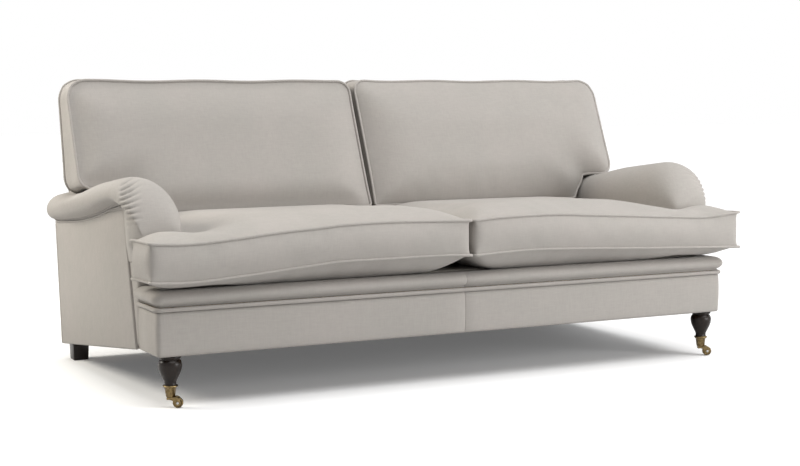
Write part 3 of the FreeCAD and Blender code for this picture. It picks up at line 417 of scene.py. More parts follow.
def finish_cushion(name, bm, body, nodes, cap, seed):
    """Fills a cushion, pipes its seams and sets both on their body."""
    bmesh.ops.recalc_face_normals(bm, faces=bm.faces)
    cushion = new_piece(name, bm, MATERIALS["linen"])
    puffed(cushion, cap, seed)
    runs = seam_runs(cushion)
    add_subdivision(cushion, 1)
    set_piece(cushion, body, "linen", *nodes)
    cord = tube(name + "_piping", runs, settings().piping, True)
    set_piece(cord, body, "linen")


# Seat cushion, on the deck's axes: places across and along, heights, and runs of the crown from each side
SEAT_ACROSS = (0.006, 0.789, 0.963)
SEAT_ALONG = (-0.050, 0.105, 0.758)
SEAT_LOW_SEAM = 0.0285
SEAT_CROWN_RUNS = (0.20, 0.10, 0.06, 0.14, 0.17, 0.09)
SEAT_UNDER_RUNS = (0.11, 0.10, 0.06, 0.14, 0.14, 0.12)
SEAM_RISE_RUN = 0.45
DECK_GAP = 0.0006
SEAT_FILL_CAP = 0.012
CORNER_ROUNDING = 0.010
BOXING_BULGE = 0.014
SEAM_STEPS = 12
# Rise of the lower and the upper front seam along each seat cushion, as shares of the seat lift
SEAM_LINES = {
    "left": (
        ((0.0, 0.95), (0.10, 1.12), (0.25, 1.10), (0.40, 1.10), (0.48, 0.88))
        + ((0.60, 0.45), (0.73, 0.0), (0.85, -0.3), (0.97, -0.1)),
        ((0.0, 0.70), (0.15, 0.85), (0.28, 0.95), (0.40, 0.85), (0.48, 0.62))
        + ((0.60, 0.30), (0.73, -0.2), (0.85, -0.5), (0.97, -0.25)),
    ),
    "right": (
        ((0.0, 0.90), (0.10, 1.08), (0.22, 1.20), (0.40, 0.98))
        + ((0.64, 0.55), (0.77, 0.36), (0.88, 0.18), (0.97, 0.05)),
        ((0.0, 0.65), (0.10, 0.92), (0.28, 0.98), (0.40, 0.72))
        + ((0.52, 0.44), (0.74, -0.1), (0.84, -0.25), (0.97, 0.22)),
    ),
}
# Shares of the thickness past which a point belongs to the upper or the lower face of a cushion
UPPER_FACE = 0.999
LOWER_FACE = 0.001


def along_rows(rows, place):
    """Value at a place in rows of (place, value)."""
    for (low, first), (high, second) in zip(rows, rows[1:]):
        if place <= high:
            return first + (second - first) * max(0.0, place - low) / (high - low)
    return rows[-1][1]


def seat_cushion(end, sign):
    """Seat cushion with a T-shaped outline, flared corners and a rising front seam."""
    sizes = settings()
    near = SEAT_ALONG[0]
    sides = t_sides(SEAT_ACROSS, SEAT_ALONG, 0, SEAT_CROWN_RUNS)
    under_sides = t_sides(SEAT_ACROSS, SEAT_ALONG, 0, SEAT_UNDER_RUNS)
    lines = [curve_points(rows, SEAM_STEPS) for rows in SEAM_LINES[end]]
    across, deep = Vector((1, 0)), Vector((0, 1))
    corners = (
        (Vector((SEAT_ACROSS[0], near)), across, deep),
        (Vector((SEAT_ACROSS[2], near)), -across, deep),
    )
    bm = t_block(SEAT_ACROSS, SEAT_ALONG, 0, sizes.seat_boxing, sizes.cell)
    for vert in bm.verts:
        point = Vector((vert.co.x, vert.co.y))
        share = vert.co.z / sizes.seat_boxing
        rise = crown_share(sides, point)
        flat = drawn_in(sides, point, sizes.draw_in - BOXING_BULGE * math.sin(math.pi * share))
        front = 1 - smoothstep(0.0, SEAM_RISE_RUN, point.y - near)
        lower, upper = (sizes.seat_lift * front * along_rows(line, point.x) for line in lines)
        height = SEAT_LOW_SEAM + lower + share * (sizes.seat_boxing + upper - lower)
        for corner in corners:
            flat = rounded(flat, corner, CORNER_ROUNDING * math.sin(math.pi * share) + FINE_MERGE)
        if share > UPPER_FACE:
            height += sizes.seat_crown * rise
        elif share < LOWER_FACE:
            height -= (lower + SEAT_LOW_SEAM - DECK_GAP) * crown_share(under_sides, point)
        vert.co = SEAT_AXES @ Vector((flat.x * sign, flat.y, height))
    nodes = ("seat_cushion_cover_" + end, "seat_cushion_core_" + end)
    finish_cushion("seat_cushion_" + end, bm, "seat_" + end, nodes, SEAT_FILL_CAP, sign)


# Back cushion: places across, depth and lean of the rear and the front face, and runs of the crown
BACK_ACROSS = (0.007, 0.784, 0.957)
BACK_BOTTOM = 0.4745
BACK_HEIGHT = 0.4067
BACK_THICKNESS = 0.16
BACK_LEAN = math.radians(10.6)
BACK_FACES = ((0.781, BACK_LEAN), (0.600, math.radians(23.0)))
BACK_CROWN_RUNS = (0.09, 0.12, 0.10, 0.12, 0.16, 0.14)
BACK_REAR_CROWN = 0.020
BACK_DRAW_SHARE = 0.5
BACK_FILL_CAP = 0.010
BACK_SEED = 5
TOP_RADII = (0.045, 0.068)
EAR_RADIUS = 0.052
FOOT_RADII = (0.012, 0.018)
TOP_WAVE, WAVE_RATE, WAVE_SHIFT = 0.002, 19, 2.2
WAVE_LIMITS = (0.2, 0.44)
ARM_LEVEL = 0.4765
EAR_SINK = 0.014
NECK_FLARE, NECK_START, NECK_RISE = 0.045, 0.45, 0.12


def back_cushion(end, sign):
    """Back cushion: a leaning wedge with a T-shaped outline and rounded corners."""
    sizes = settings()
    xs = BACK_ACROSS
    ears = []
    for depth, lean in BACK_FACES:
        slope = math.tan(lean) * math.tan(FRAME_RAKE)
        arm = BASE_BOTTOM + ARM_LEVEL / math.cos(FRAME_RAKE) - (depth - ARM_FRONT) * math.tan(FRAME_RAKE)
        over_bottom = (arm + BACK_BOTTOM * slope) / (1 + slope) - BACK_BOTTOM
        ears.append(over_bottom / math.cos(lean) - EAR_SINK)
    ys = (0.0, ears[1], BACK_HEIGHT / math.cos(BACK_FACES[1][1]))
    sides = t_sides(xs, ys, 1, BACK_CROWN_RUNS)
    across, up = Vector((1, 0)), Vector((0, 1))
    corners = (
        (Vector((xs[2], ys[2])), -across, -up, TOP_RADII[1]),
        (Vector((xs[0], ys[2])), across, -up, TOP_RADII[0]),
        (Vector((xs[2], ys[1])), -across, up, EAR_RADIUS),
        (Vector((xs[1], ys[0])), -across, up, FOOT_RADII[1]),
        (Vector((xs[0], ys[0])), across, up, FOOT_RADII[0]),
    )
    bm = t_block(xs, ys, 1, BACK_THICKNESS, sizes.cell)
    for vert in bm.verts:
        share = vert.co.z / BACK_THICKNESS
        point = Vector((vert.co.x, vert.co.y))
        rise = crown_share(sides, point)
        flat = drawn_in(sides, point, BACK_DRAW_SHARE * sizes.draw_in)
        for place, first, second, radius in corners:
            flat = rounded(flat, (place, first, second), radius)
        wave = TOP_WAVE * math.sin(flat.x * WAVE_RATE + WAVE_SHIFT * sign)
        wave *= smoothstep(*WAVE_LIMITS, flat.y)
        beside = min(smoothstep(NECK_START, xs[1], point.x), 1 - smoothstep(xs[1], xs[2], point.x))
        level = smoothstep(0.0, ys[1], point.y) * (1 - smoothstep(ys[1], ys[1] + NECK_RISE, point.y))
        flat.x += NECK_FLARE * beside * level
        spots = []
        for (depth, lean), ear, side in zip(BACK_FACES, ears, (1, -1)):
            top = BACK_HEIGHT / math.cos(lean)
            if flat.y < ys[1]:
                along = flat.y * ear / ys[1]
            else:
                along = ear + (flat.y - ys[1]) * (top - ear) / (ys[2] - ys[1])
            raised = Vector((0, side * math.cos(lean), -side * math.sin(lean)))
            upward = Vector((0, math.sin(lean), math.cos(lean)))
            spots.append((Vector((0, depth, BACK_BOTTOM)) + upward * (along + wave), raised))
        place = spots[0][0].lerp(spots[1][0], share)
        if share > UPPER_FACE:
            place += spots[1][1] * sizes.back_crown * rise
        elif share < LOWER_FACE:
            place += spots[0][1] * BACK_REAR_CROWN * rise
        vert.co = (flat.x * sign, place.y + FRONT_FACE, place.z)
    nodes = ("back_cushion_cover_" + end, "back_cushion_core_" + end)
    finish_cushion("back_cushion_" + end, bm, "back_" + end, nodes, BACK_FILL_CAP, sign + BACK_SEED)


# Section of the right arm across the body's axes, and places along it
INSIDE_ARM = 0.800
PANEL_EDGE = 0.938
ARM_EDGE = 0.983
ARM_TOP = 0.475
ARM_INNER_RADIUS = 0.110
ARM_MIDDLE = 0.884
ARM_BOTTOM = 0.180
ARM_REAR = 0.760
ARM_END = 0.786
END_SHRINK = 0.14
END_SHARES = (0.0, 0.1, 0.3, 0.6)
PANEL_REAR = 0.772
PANEL_TOP = 0.386
ROLL_LEVEL = 0.427
ROLL_CENTRE = Vector((0.930, 0.425))
ROLL_TAPER, TAPER_START = 0.35, 0.50
ROLL_STEPS = 30
EAR_DIP, EAR_DIP_LIMITS = 0.012, (0.22, 0.45, 0.56, 0.68)
# Height of the tuck under the scroll at places along the arm
TUCK_LINE = ((-0.12, 0.404), (0.06, 0.403), (0.175, 0.398), (0.275, 0.389))
TUCK_LINE += ((0.41, 0.384), (0.54, 0.385), (0.70, 0.391), (0.76, 0.394))
TUCK_STEPS = 8
# Number of points on each stretch of the section
FACE_POINTS, TOP_POINTS, OVER_POINTS, LOW_POINTS, TUCK_POINTS = 10, 12, 16, 12, 16
# Domed front, or hood, over the ear of the seat cushion
NOSE_START = 0.050
NOSE_DEPTH = 0.158
NOSE_BOTTOM = 0.235
NOSE_NARROWING = 0.45
NOSE_FALL = 0.140
NOSE_LEVEL = 0.345
NOSE_LEAN = math.tan(math.radians(7.2))
HOOD_STEPS = 32
HOOD_SPREAD, HOOD_TURN = 0.85, math.radians(50)
HOOD_FREE = (0.238, 0.298)
WALL_INSET, HOOD_WALL_INSET = 0.002, 0.004
CLOSING_SHARES = (0.75, 0.5, 0.25, 0.04)
EAR_BACK = 0.150
EAR_PRESS = 0.92
# Gathers along the edge of the hood: the row's origin, slants, limits, spacing and depth
HOOD_EDGE = Vector((0.976, 0.010, 0.368))
GATHER_START, GATHER_END = 0.020, -0.1
GATHER_ASIDE = (0.293, 0.056)
GATHER_RISE = (1.026, 0.040, 0.053)
GATHER_SLANT, GATHER_FAN = 0.2, 5.0
GATHER_ROWS = (-0.034, -0.018, 0.078, 0.094)
GATHER_RUN = (-0.008, 0.004, 0.012, 0.070)
GATHER_FRONT = (0.005, 0.035)
GATHER_SPACING, GATHER_DEPTH = 0.0142, 0.0088
# Cloth between the arm's front, the outer panel and the base
APRON_SIZE = Vector((0.124, 0.090, 0.282))
APRON_PLACE = Vector((0.869, 0.2018, 0.2870))
APRON_ROUNDING = 0.012


def roll_underside(depth):
    """Height of the tuck under the scroll, rising towards both ends."""
    return along_rows(curve_points(TUCK_LINE, TUCK_STEPS), depth)


def ear_dip(depth):
    """How far the back cushion's ear presses down the top of the arm."""
    return EAR_DIP * window(EAR_DIP_LIMITS, depth)


def oval(centre, reach, start, end, count):
    """Points on an ellipse from one angle to another, the first included."""
    angles = [start + (end - start) * index / count for index in range(count)]
    return [
        Vector((centre[0] + reach[0] * math.cos(angle), centre[1] + reach[1] * math.sin(angle)))
        for angle in angles
    ]


def arm_outline(bottom, depth, turn):
    """Section of the right arm: inner face, rounded top, scroll, tuck and outer wall."""
    under = roll_underside(depth)
    overhang = (ARM_EDGE - PANEL_EDGE) * (1 - ROLL_TAPER * smoothstep(TAPER_START, ARM_REAR, depth))
    tip = PANEL_EDGE + overhang
    wall = PANEL_EDGE - WALL_INSET + overhang * HOOD_SPREAD * smoothstep(0.0, HOOD_TURN, turn)
    inner = (INSIDE_ARM + ARM_INNER_RADIUS, ARM_TOP - ARM_INNER_RADIUS)
    rise, drop = inner[1] - bottom, under - bottom
    face = [Vector((INSIDE_ARM, bottom + rise * index / FACE_POINTS)) for index in range(FACE_POINTS)]
    top = oval(inner, (ARM_INNER_RADIUS, ARM_INNER_RADIUS), math.pi, math.pi / 2, TOP_POINTS)
    reach = (tip - inner[0], ARM_TOP - ROLL_LEVEL)
    over = oval((inner[0], ROLL_LEVEL), reach, math.pi / 2, 0, OVER_POINTS)
    for point in top + over:
        inward = smoothstep(INSIDE_ARM, inner[0], point.x)
        point.y -= ear_dip(depth) * inward * smoothstep(ROLL_LEVEL, ARM_TOP, point.y)
    low = oval((wall, ROLL_LEVEL), (tip - wall, ROLL_LEVEL - under), 0, -math.pi / 2, LOW_POINTS)
    tuck = [Vector((wall, under - drop * index / TUCK_POINTS)) for index in range(TUCK_POINTS + 1)]
    return face + top + over + low + tuck


def arm_ring(depth, turn):
    """Arm section at one depth; the turn from 0 to a right angle closes the domed front."""
    fall = 1 - math.cos(turn)
    bottom = ARM_BOTTOM if turn == 0 else NOSE_BOTTOM
    width = 1 - NOSE_NARROWING * fall
    rise = 1 - NOSE_FALL * fall / (ARM_TOP - bottom)
    end = 1 - END_SHRINK * max(0.0, (depth - ARM_REAR) / (ARM_END - ARM_REAR)) ** 2
    wall = PANEL_EDGE - HOOD_WALL_INSET
    ring = []
    for point in arm_outline(bottom, depth, turn):
        if point.y > PANEL_TOP:
            point = ROLL_CENTRE + (point - ROLL_CENTRE) * end
        height = bottom + (point.y - bottom) * rise
        lean = NOSE_LEAN * math.sin(turn) * (height - NOSE_LEVEL)
        across = ARM_MIDDLE + (point.x - ARM_MIDDLE) * width
        across = min(across, wall + max(0.0, across - wall) * smoothstep(*HOOD_FREE, height))
        ring.append(Vector((across, depth + lean, height)))
    return ring


def tucked(point):
    """Point of the arm pressed back behind the ear of the seat cushion, below the hood."""
    limit = (EAR_BACK - ARM_FRONT - point.z * math.sin(FRAME_RAKE)) / math.cos(FRAME_RAKE)
    behind = max(0.0, limit - point.y) * (1 - smoothstep(*HOOD_FREE, point.z))
    return Vector((point.x, point.y + EAR_PRESS * behind, point.z))


def closed_front(ring):
    """Smaller and smaller copies of the last ring that close the front."""
    centre = sum(ring, Vector()) / len(ring)
    return [[centre.lerp(point, share) for point in ring] for share in CLOSING_SHARES]


def pleat(point):
    """Depth of the gathers that run inward from the front edge of the hood."""
    inward, back, up = HOOD_EDGE.x - point.x, point.y - HOOD_EDGE.y, point.z - HOOD_EDGE.z
    aside = inward - GATHER_ASIDE[0] * back - GATHER_ASIDE[1] * up - GATHER_START
    rise = GATHER_RISE[0] * up + GATHER_RISE[1] * inward - GATHER_RISE[2] * back
    foot = (rise - GATHER_SLANT * aside) / (1 + GATHER_FAN * aside) if aside > GATHER_END else 0.0
    valley = (1 - abs(math.sin(math.pi * foot / GATHER_SPACING))) ** 2
    front = 1 - smoothstep(*GATHER_FRONT, point.y)
    return GATHER_DEPTH * valley * window(GATHER_ROWS, foot) * window(GATHER_RUN, aside) * front


def arm_pieces(end, sign):
    """Scrolled arm with a domed, gathered front, and the apron under it."""
    bm = bmesh.new()
    rear = [ARM_END - (ARM_END - ARM_REAR) * share for share in END_SHARES]
    rear += [ARM_REAR - (ARM_REAR - NOSE_START) * index / ROLL_STEPS for index in range(ROLL_STEPS)]
    rings = [arm_ring(depth, 0) for depth in rear]
    for index in range(1, HOOD_STEPS + 1):
        turn = math.pi / 2 * index / HOOD_STEPS
        rings.append(arm_ring(NOSE_START - NOSE_DEPTH * math.sin(turn), turn))
    rings += closed_front(rings[-1])
    loft(bm, [[tucked(point) for point in ring] for ring in rings])
    bmesh.ops.subdivide_edges(bm, edges=bm.edges, cuts=1, use_grid_fill=True)
    smoothed(bm, bm.verts)
    bm.normal_update()
    for vert in bm.verts:
        vert.co -= vert.normal * pleat(vert.co)
    place_side(bm, sign)
    arm = new_piece("arm_" + end, bm, MATERIALS["linen"])
    add_subdivision(arm, 1)
    set_piece(arm, "frame", "linen", "arm_pad_" + end)
    apron = soft_block("arm_apron_" + end, sign, APRON_SIZE, APRON_PLACE, 0.0, APRON_ROUNDING)


def place_side(bm, sign):
    """Sets right-hand shapes made in the body's axes on the asked side."""
    bmesh.ops.transform(bm, matrix=BODY_AXES, verts=bm.verts)
    mirrored(bm, sign)


# Base front: corner, stations along it and the sewn seam in the middle of the cloth
BASE_CORNER = 0.014
CORNER_STEPS = 6
RETURN_STATION = 0.08
FRONT_STATIONS = 48
SEAM_PLACES = [-0.004, -0.0012, 0.0, 0.0012, 0.004]
SEAM_ROOM = 0.01
SEAM_WIDTH, SEAM_DENT, SEAM_REACH = 0.003, 0.0022, -0.006
# Border: thickness, and outset and height at its lower and upper edge
BORDER_THICKNESS = 0.017
BORDER_FOOT = ((-0.006, 0.0), (-0.0015, 0.002), (0.0, 0.007))
BORDER_HEAD = ((0.0, -0.003), (-0.004, 0.0))
BORDER_BULGE = 0.0022
BORDER_STEPS = 9
# Front roll: depth, centre of its round, and share of the height that the round takes
ROLL_DEPTH = 0.058
ROLL_IN = 0.022
ROLL_BULGE = 0.013
ROLL_ROUND = 0.52
ROLL_UNDER, ROLL_OVER = 0.9, 0.92
ROLL_FIRST, ROLL_SWEEP, ROLL_ROUND_STEPS = -62, 152, 12
ROLL_HEM, ROLL_LOW_EDGE = 0.001, -0.004
BASE_CORD_RADIUS = 0.0060
BASE_CORD_OUTSET = 0.001


def base_run():
    """Places along the front of the base with the outward direction at each, left to right."""
    aside = Vector((-1, 0))
    run = [(Vector((-BASE_EDGE, depth)), aside) for depth in (BASE_RETURN, RETURN_STATION)]
    for index in range(CORNER_STEPS + 1):
        angle = math.pi + math.pi / 2 * index / CORNER_STEPS
        out = Vector((math.cos(angle), math.sin(angle)))
        run.append((Vector((-BASE_EDGE + BASE_CORNER, BASE_CORNER)) + out * BASE_CORNER, out))
    width = BASE_EDGE - BASE_CORNER
    places = [-width + 2 * width * index / FRONT_STATIONS for index in range(1, FRONT_STATIONS)]
    places = sorted([x for x in places if abs(x) > SEAM_ROOM] + SEAM_PLACES)
    front = [(Vector((x, 0.0)), Vector((0, -1))) for x in places]
    other_end = [(Vector((-at.x, at.y)), Vector((-out.x, out.y))) for at, out in reversed(run)]
    return run + front + other_end


def swept(name, section):
    """Shape of one section, given as (outset, height), carried round the front of the base."""
    bm = bmesh.new()
    rings = []
    for at, out in base_run():
        groove = SEAM_DENT * max(0.0, 1 - abs(at.x) / SEAM_WIDTH) if out.y == -1 else 0.0
        ring = []
        for outset, height in section:
            reach = outset - (groove if outset > SEAM_REACH else 0.0)
            across, deep = at.x + out.x * reach, at.y + out.y * reach
            if outset < -BASE_CORNER:
                limit = BASE_EDGE + outset
                across, deep = max(-limit, min(limit, across)), max(-outset, deep)
            ring.append((across, deep + FRONT_FACE, height))
        rings.append(ring)
    loft(bm, rings)
    return new_piece(name, bm, MATERIALS["linen"])


def border_section():
    section = [(-BORDER_THICKNESS, BORDER_TOP), (-BORDER_THICKNESS, BASE_BOTTOM)]
    section += [(outset, BASE_BOTTOM + height) for outset, height in BORDER_FOOT]
    low, high = BASE_BOTTOM + BORDER_FOOT[-1][1], BORDER_TOP + BORDER_HEAD[0][1]
    for index in range(1, BORDER_STEPS):
        share = index / BORDER_STEPS
        section.append((BORDER_BULGE * math.sin(math.pi * share), low + (high - low) * share))
    return section + [(outset, BORDER_TOP + height) for outset, height in BORDER_HEAD]


def roll_section():
    section = [(-ROLL_DEPTH, LIP_TOP - ROLL_HEM), (-ROLL_DEPTH, LIP_BOTTOM + ROLL_HEM)]
    section.append((ROLL_LOW_EDGE, LIP_BOTTOM))
    half = ROLL_ROUND * (LIP_TOP - LIP_BOTTOM)
    for index in range(ROLL_ROUND_STEPS + 1):
        angle = math.radians(ROLL_FIRST + ROLL_SWEEP * index / ROLL_ROUND_STEPS)
        height = LIP_BOTTOM + half + half * math.sin(angle) * (ROLL_UNDER if angle < 0 else ROLL_OVER)
        section.append((-ROLL_IN + (ROLL_IN + ROLL_BULGE) * math.cos(angle), min(height, LIP_TOP)))
    return section


def base_front():
    """Front border, piping cord and soft edge roll."""
    border = swept("front_border_cloth", border_section())
    set_piece(border, "frame", "linen", "front_border")
    lip = swept("front_roll", roll_section())
    set_piece(lip, "frame", "linen", "front_lip")
    level = (BORDER_TOP + LIP_BOTTOM) / 2
    places = [at + out * BASE_CORD_OUTSET for at, out in base_run()]
    points = [(place.x, place.y + FRONT_FACE, level) for place in places]
    cord = tube("base_piping_cord", [points], BASE_CORD_RADIUS, False)
    set_piece(cord, "frame", "linen", "base_piping")


# Cloth that fills the hollow between the inside back and the rounded inner edge of an arm
BACK_CORNER_SIZE = Vector((0.125, 0.120, 0.140))
BACK_CORNER_PLACE = Vector((0.8425, 0.8665, 0.480))
BACK_CORNER_SLOPE = math.tan(BACK_LEAN)
BACK_CORNER_ROUNDING = 0.008
PANEL_ROUNDING = 0.005
OUTSIDE_ROUNDING = 0.006
INSIDE_ROUNDING = 0.014
DECK_ROUNDING = 0.012
DUST_ROUNDING = 0.0003
STRAP_ROUNDING = 0.0005
PANEL_CORD_RADIUS = 0.0026
PANEL_CORD_OUTSET = 0.0005
PANEL_CORD_DROPS = (0.001, 0.0075)
PANEL_CORD_STEPS = 24


def panels_and_back():
    """Outer arm panels with their double cord, both faces of the back, the deck and the dust cloth."""
    for end, sign in SIDES:
        panel = softened_copy("outer_panel_" + end, "arm_panel_" + end, "frame", "linen", PANEL_ROUNDING)
        start = PANEL_TOP * NOSE_LEAN
        runs = []
        for drop in PANEL_CORD_DROPS:
            run = []
            for index in range(PANEL_CORD_STEPS + 1):
                depth = start + (PANEL_REAR - start) * index / PANEL_CORD_STEPS
                height = roll_underside(depth) - drop
                place = BODY_AXES @ Vector((PANEL_EDGE + PANEL_CORD_OUTSET, depth, height))
                run.append((place.x * sign, place.y, place.z))
            runs.append(run)
        cord = tube("panel_cord_" + end, runs, PANEL_CORD_RADIUS, False)
        set_piece(cord, "frame", "linen")
    outside = softened_copy("outside_back_cloth", "outside_back", "frame", "linen", OUTSIDE_ROUNDING)
    inside = softened_copy("inside_back", "back_pad", "frame", "linen", INSIDE_ROUNDING, 4)
    for end, sign in SIDES:
        corner = soft_block(
            "back_corner_" + end,
            sign,
            BACK_CORNER_SIZE,
            BACK_CORNER_PLACE,
            BACK_CORNER_SLOPE,
            BACK_CORNER_ROUNDING,
        )
    deck = softened_copy("seat_platform", "seat_deck", "frame", "lining", DECK_ROUNDING, 4)
    softened_copy("dust_cloth", "dust_cover", "frame", "dust_cloth", DUST_ROUNDING, 1)


def inner_frame():
    """Straps redone as woven bands; the bare timber keeps its solids with a wood finish."""
    for node in ("seat_webbing", "cross_webbing", "back_webbing"):
        softened_copy(node + "_straps", node, "frame", "webbing", STRAP_ROUNDING, 1)
    timber = {row["node"] for row in frame["record"]["subparts"] if row["material_slot"] == "frame_wood"}
    for node in sorted(timber):
        mesh = frame["nodes"][node].data
        mesh.materials.clear()
        mesh.materials.append(MATERIALS["frame_wood"])


LEG_X = 0.884
LEG_DEPTH = 0.036
CASTOR_TURN = math.radians(-27)
WHEEL_TRAIL = 0.020
WHEEL_RADIUS = 0.014
REAR_LEG_ROUNDING = 0.0015
FORK_ROUNDING = 0.0007
# Profiles of the turned pieces as (radius, height)
LEG_HEAD = [(0.0, 0.1418), (0.0285, 0.1418), (0.0302, 0.1400), (0.0302, 0.1365), (0.0285, 0.1345)]
LEG_BELLY = [(0.0255, 0.1325), (0.0312, 0.124), (0.0322, 0.113)]
LEG_BELLY += [(0.0285, 0.098), (0.0205, 0.081), (0.0162, 0.072)]
LEG_FOOT = [(0.0158, 0.066), (0.0172, 0.0635), (0.0158, 0.0605), (0.0, 0.0605)]
BELLY_STEPS = 6
CUP_PROFILE = [(0.0, 0.0300), (0.0118, 0.0300), (0.0126, 0.0308), (0.0158, 0.0545), (0.0185, 0.0562)]
CUP_PROFILE += [(0.0204, 0.0583), (0.0208, 0.0600), (0.0198, 0.0618), (0.0172, 0.0622), (0.0, 0.0622)]
WHEEL_SIDE = [(0.0027, 0.0066), (0.0060, 0.0069), (0.0064, 0.0058), (0.0104, 0.0058)]
WHEEL_SIDE += [(0.0110, 0.0068), (0.0128, 0.0066), (0.0140, 0.0045)]
AXLE_SIDE = [(0.0, 0.0132), (0.0026, 0.0130), (0.0036, 0.0122), (0.0024, 0.0119)]
# Heads of the screws on each castor cup
SCREW_ANGLES = (math.radians(200), math.radians(20))
SCREW_REACH, SCREW_HEIGHT, SCREW_RADIUS = 0.0140, 0.044, 0.0026


def both_sides(half):
    """Profile of a wheel or axle from the lower end to the upper one."""
    return [(radius, -height) for radius, height in half] + half[::-1]


def turned(bm, profile, axes):
    """Full turn of a profile of (radius, height) about the local Z axis of the given axes."""
    verts = [bm.verts.new((radius, 0, height)) for radius, height in profile]
    edges = [bm.edges.new(pair) for pair in zip(verts, verts[1:])]
    bmesh.ops.spin(
        bm,
        geom=verts + edges,
        cent=(0, 0, 0),
        axis=(0, 0, 1),
        angle=2 * math.pi,
        steps=TURN_STEPS,
        use_merge=True,
    )
    bmesh.ops.remove_doubles(bm, verts=bm.verts, dist=FINE_MERGE)
    bmesh.ops.recalc_face_normals(bm, faces=bm.faces)
    bmesh.ops.transform(bm, matrix=axes, verts=bm.verts)


def between(share, before, low, high, after):
    """Value between two of four numbers, Catmull-Rom style."""
    bend = (2 * before - 5 * low + 4 * high - after) * share * share
    twist = (3 * low - before - 3 * high + after) * share * share * share
    return 0.5 * (2 * low + (high - before) * share + bend + twist)


def curve_points(points, count):
    """Smooth run through a few points."""
    rows = [points[0], *points, points[-1]]
    result = []
    for four in zip(rows, rows[1:], rows[2:], rows[3:]):
        for index in range(count):
            result.append(tuple(between(index / count, *values) for values in zip(*four)))
    return result + [points[-1]]


def leg_axes(sign):
    return Matrix.Translation((sign * LEG_X, FRONT_FACE + LEG_DEPTH, 0))


def turned_pair(profile, heads=()):
    """Both front copies of a turned piece in one bmesh, with balls at the places of the heads."""
    bm = bmesh.new()
    for _, sign in SIDES:
        part = bmesh.new()
        turned(part, profile, leg_axes(sign))
        for head in heads:
            place = leg_axes(sign) @ Matrix.Translation(head)
            bmesh.ops.create_uvsphere(part, u_segments=12, v_segments=8, radius=SCREW_RADIUS, matrix=place)
        mesh = bpy.data.meshes.new("turned_part")
        part.to_mesh(mesh)
        part.free()
        bm.from_mesh(mesh)
        bpy.data.meshes.remove(mesh)
    return bm


def front_legs():
    """Turned front legs."""
    profile = LEG_HEAD + curve_points(LEG_BELLY, BELLY_STEPS) + LEG_FOOT
    legs = new_piece("front_legs_turned", turned_pair(profile), MATERIALS["leg_wood"])
    set_piece(legs, "frame", "leg_wood", "front_legs")


def castors():
    """Brass cups, swivelling forks, axles and wheels."""
    brass = MATERIALS["brass"]
    heads = []
    for turn in SCREW_ANGLES:
        heads.append((SCREW_REACH * math.cos(turn), SCREW_REACH * math.sin(turn), SCREW_HEIGHT))
    cups = new_piece("castor_cups_brass", turned_pair(CUP_PROFILE, heads), brass)
    set_piece(cups, "frame", "brass", "castor_cups")
    for end, sign in SIDES:
        softened_copy("castor_fork_" + end, "castor_horn_" + end, "castor_" + end, "brass", FORK_ROUNDING, 2)
        axes = (
            leg_axes(sign)
            @ Matrix.Rotation(CASTOR_TURN, 4, "Z")
            @ Matrix.Translation((WHEEL_TRAIL, 0, WHEEL_RADIUS))
            @ Matrix.Rotation(math.pi / 2, 4, "X")
        )
        bm = bmesh.new()
        turned(bm, both_sides(WHEEL_SIDE) + [(WHEEL_SIDE[0][0], -WHEEL_SIDE[0][1])], axes)
        wheel = new_piece("castor_wheel_brass_" + end, bm, brass)
        set_piece(wheel, "wheel_" + end, "brass", "castor_wheel_" + end)
        bm = bmesh.new()
        turned(bm, both_sides(AXLE_SIDE), axes)
        axle = new_piece("castor_axle_pin_" + end, bm, MATERIALS["steel"])
        set_piece(axle, "castor_" + end, "steel", "castor_axle_" + end)


def rear_legs():
    """Short square rear legs, tapered to the foot."""
    softened_copy("rear_legs_square", "rear_legs", "frame", "leg_wood", REAR_LEG_ROUNDING, 2)


def shader(name, colour, roughness):
    material = bpy.data.materials.new(name)
    material.use_nodes = True
    node = material.node_tree.nodes["Principled BSDF"]
    node.inputs["Base Color"].default_value = (*colour, 1)
    node.inputs["Roughness"].default_value = roughness
    MATERIALS[name] = material
    return material.node_tree, node


def noise_node(tree, scale, detail, stretch=(1, 1, 1)):
    coordinates = tree.nodes.new("ShaderNodeTexCoord")
    mapping = tree.nodes.new("ShaderNodeMapping")
    mapping.inputs["Scale"].default_value = stretch
    texture = tree.nodes.new("ShaderNodeTexNoise")
    texture.inputs["Scale"].default_value = scale
    texture.inputs["Detail"].default_value = detail
    tree.links.new(coordinates.outputs["Object"], mapping.inputs["Vector"])
    tree.links.new(mapping.outputs["Vector"], texture.inputs["Vector"])
    return texture


def tint(tree, factor, low, high, target, span=(0.35, 0.65)):
    ramp = tree.nodes.new("ShaderNodeValToRGB")
    ramp.color_ramp.elements[0].position = span[0]
    ramp.color_ramp.elements[1].position = span[1]
    ramp.color_ramp.elements[0].color = (*low, 1)
    ramp.color_ramp.elements[1].color = (*high, 1)
    tree.links.new(factor, ramp.inputs["Fac"])
    if target is not None:
        tree.links.new(ramp.outputs["Color"], target)
    return ramp


def maths(tree, operation, first, second):
    """Math node of a link and a link or number; gives its output."""
    node = tree.nodes.new("ShaderNodeMath")
    node.operation = operation
    tree.links.new(first, node.inputs[0])
    if isinstance(second, float):
        node.inputs[1].default_value = second
    else:
        tree.links.new(second, node.inputs[1])
    return node.outputs["Value"]


def ranged(tree, value, low, high):
    """Node that takes nought and one to the two limits; gives its output."""
    node = tree.nodes.new("ShaderNodeMapRange")
    node.inputs["To Min"].default_value = low
    node.inputs["To Max"].default_value = high
    tree.links.new(value, node.inputs["Value"])
    return node.outputs["Result"]


def scaled(colour, factor):
    return tuple(min(1.0, channel * factor) for channel in colour)


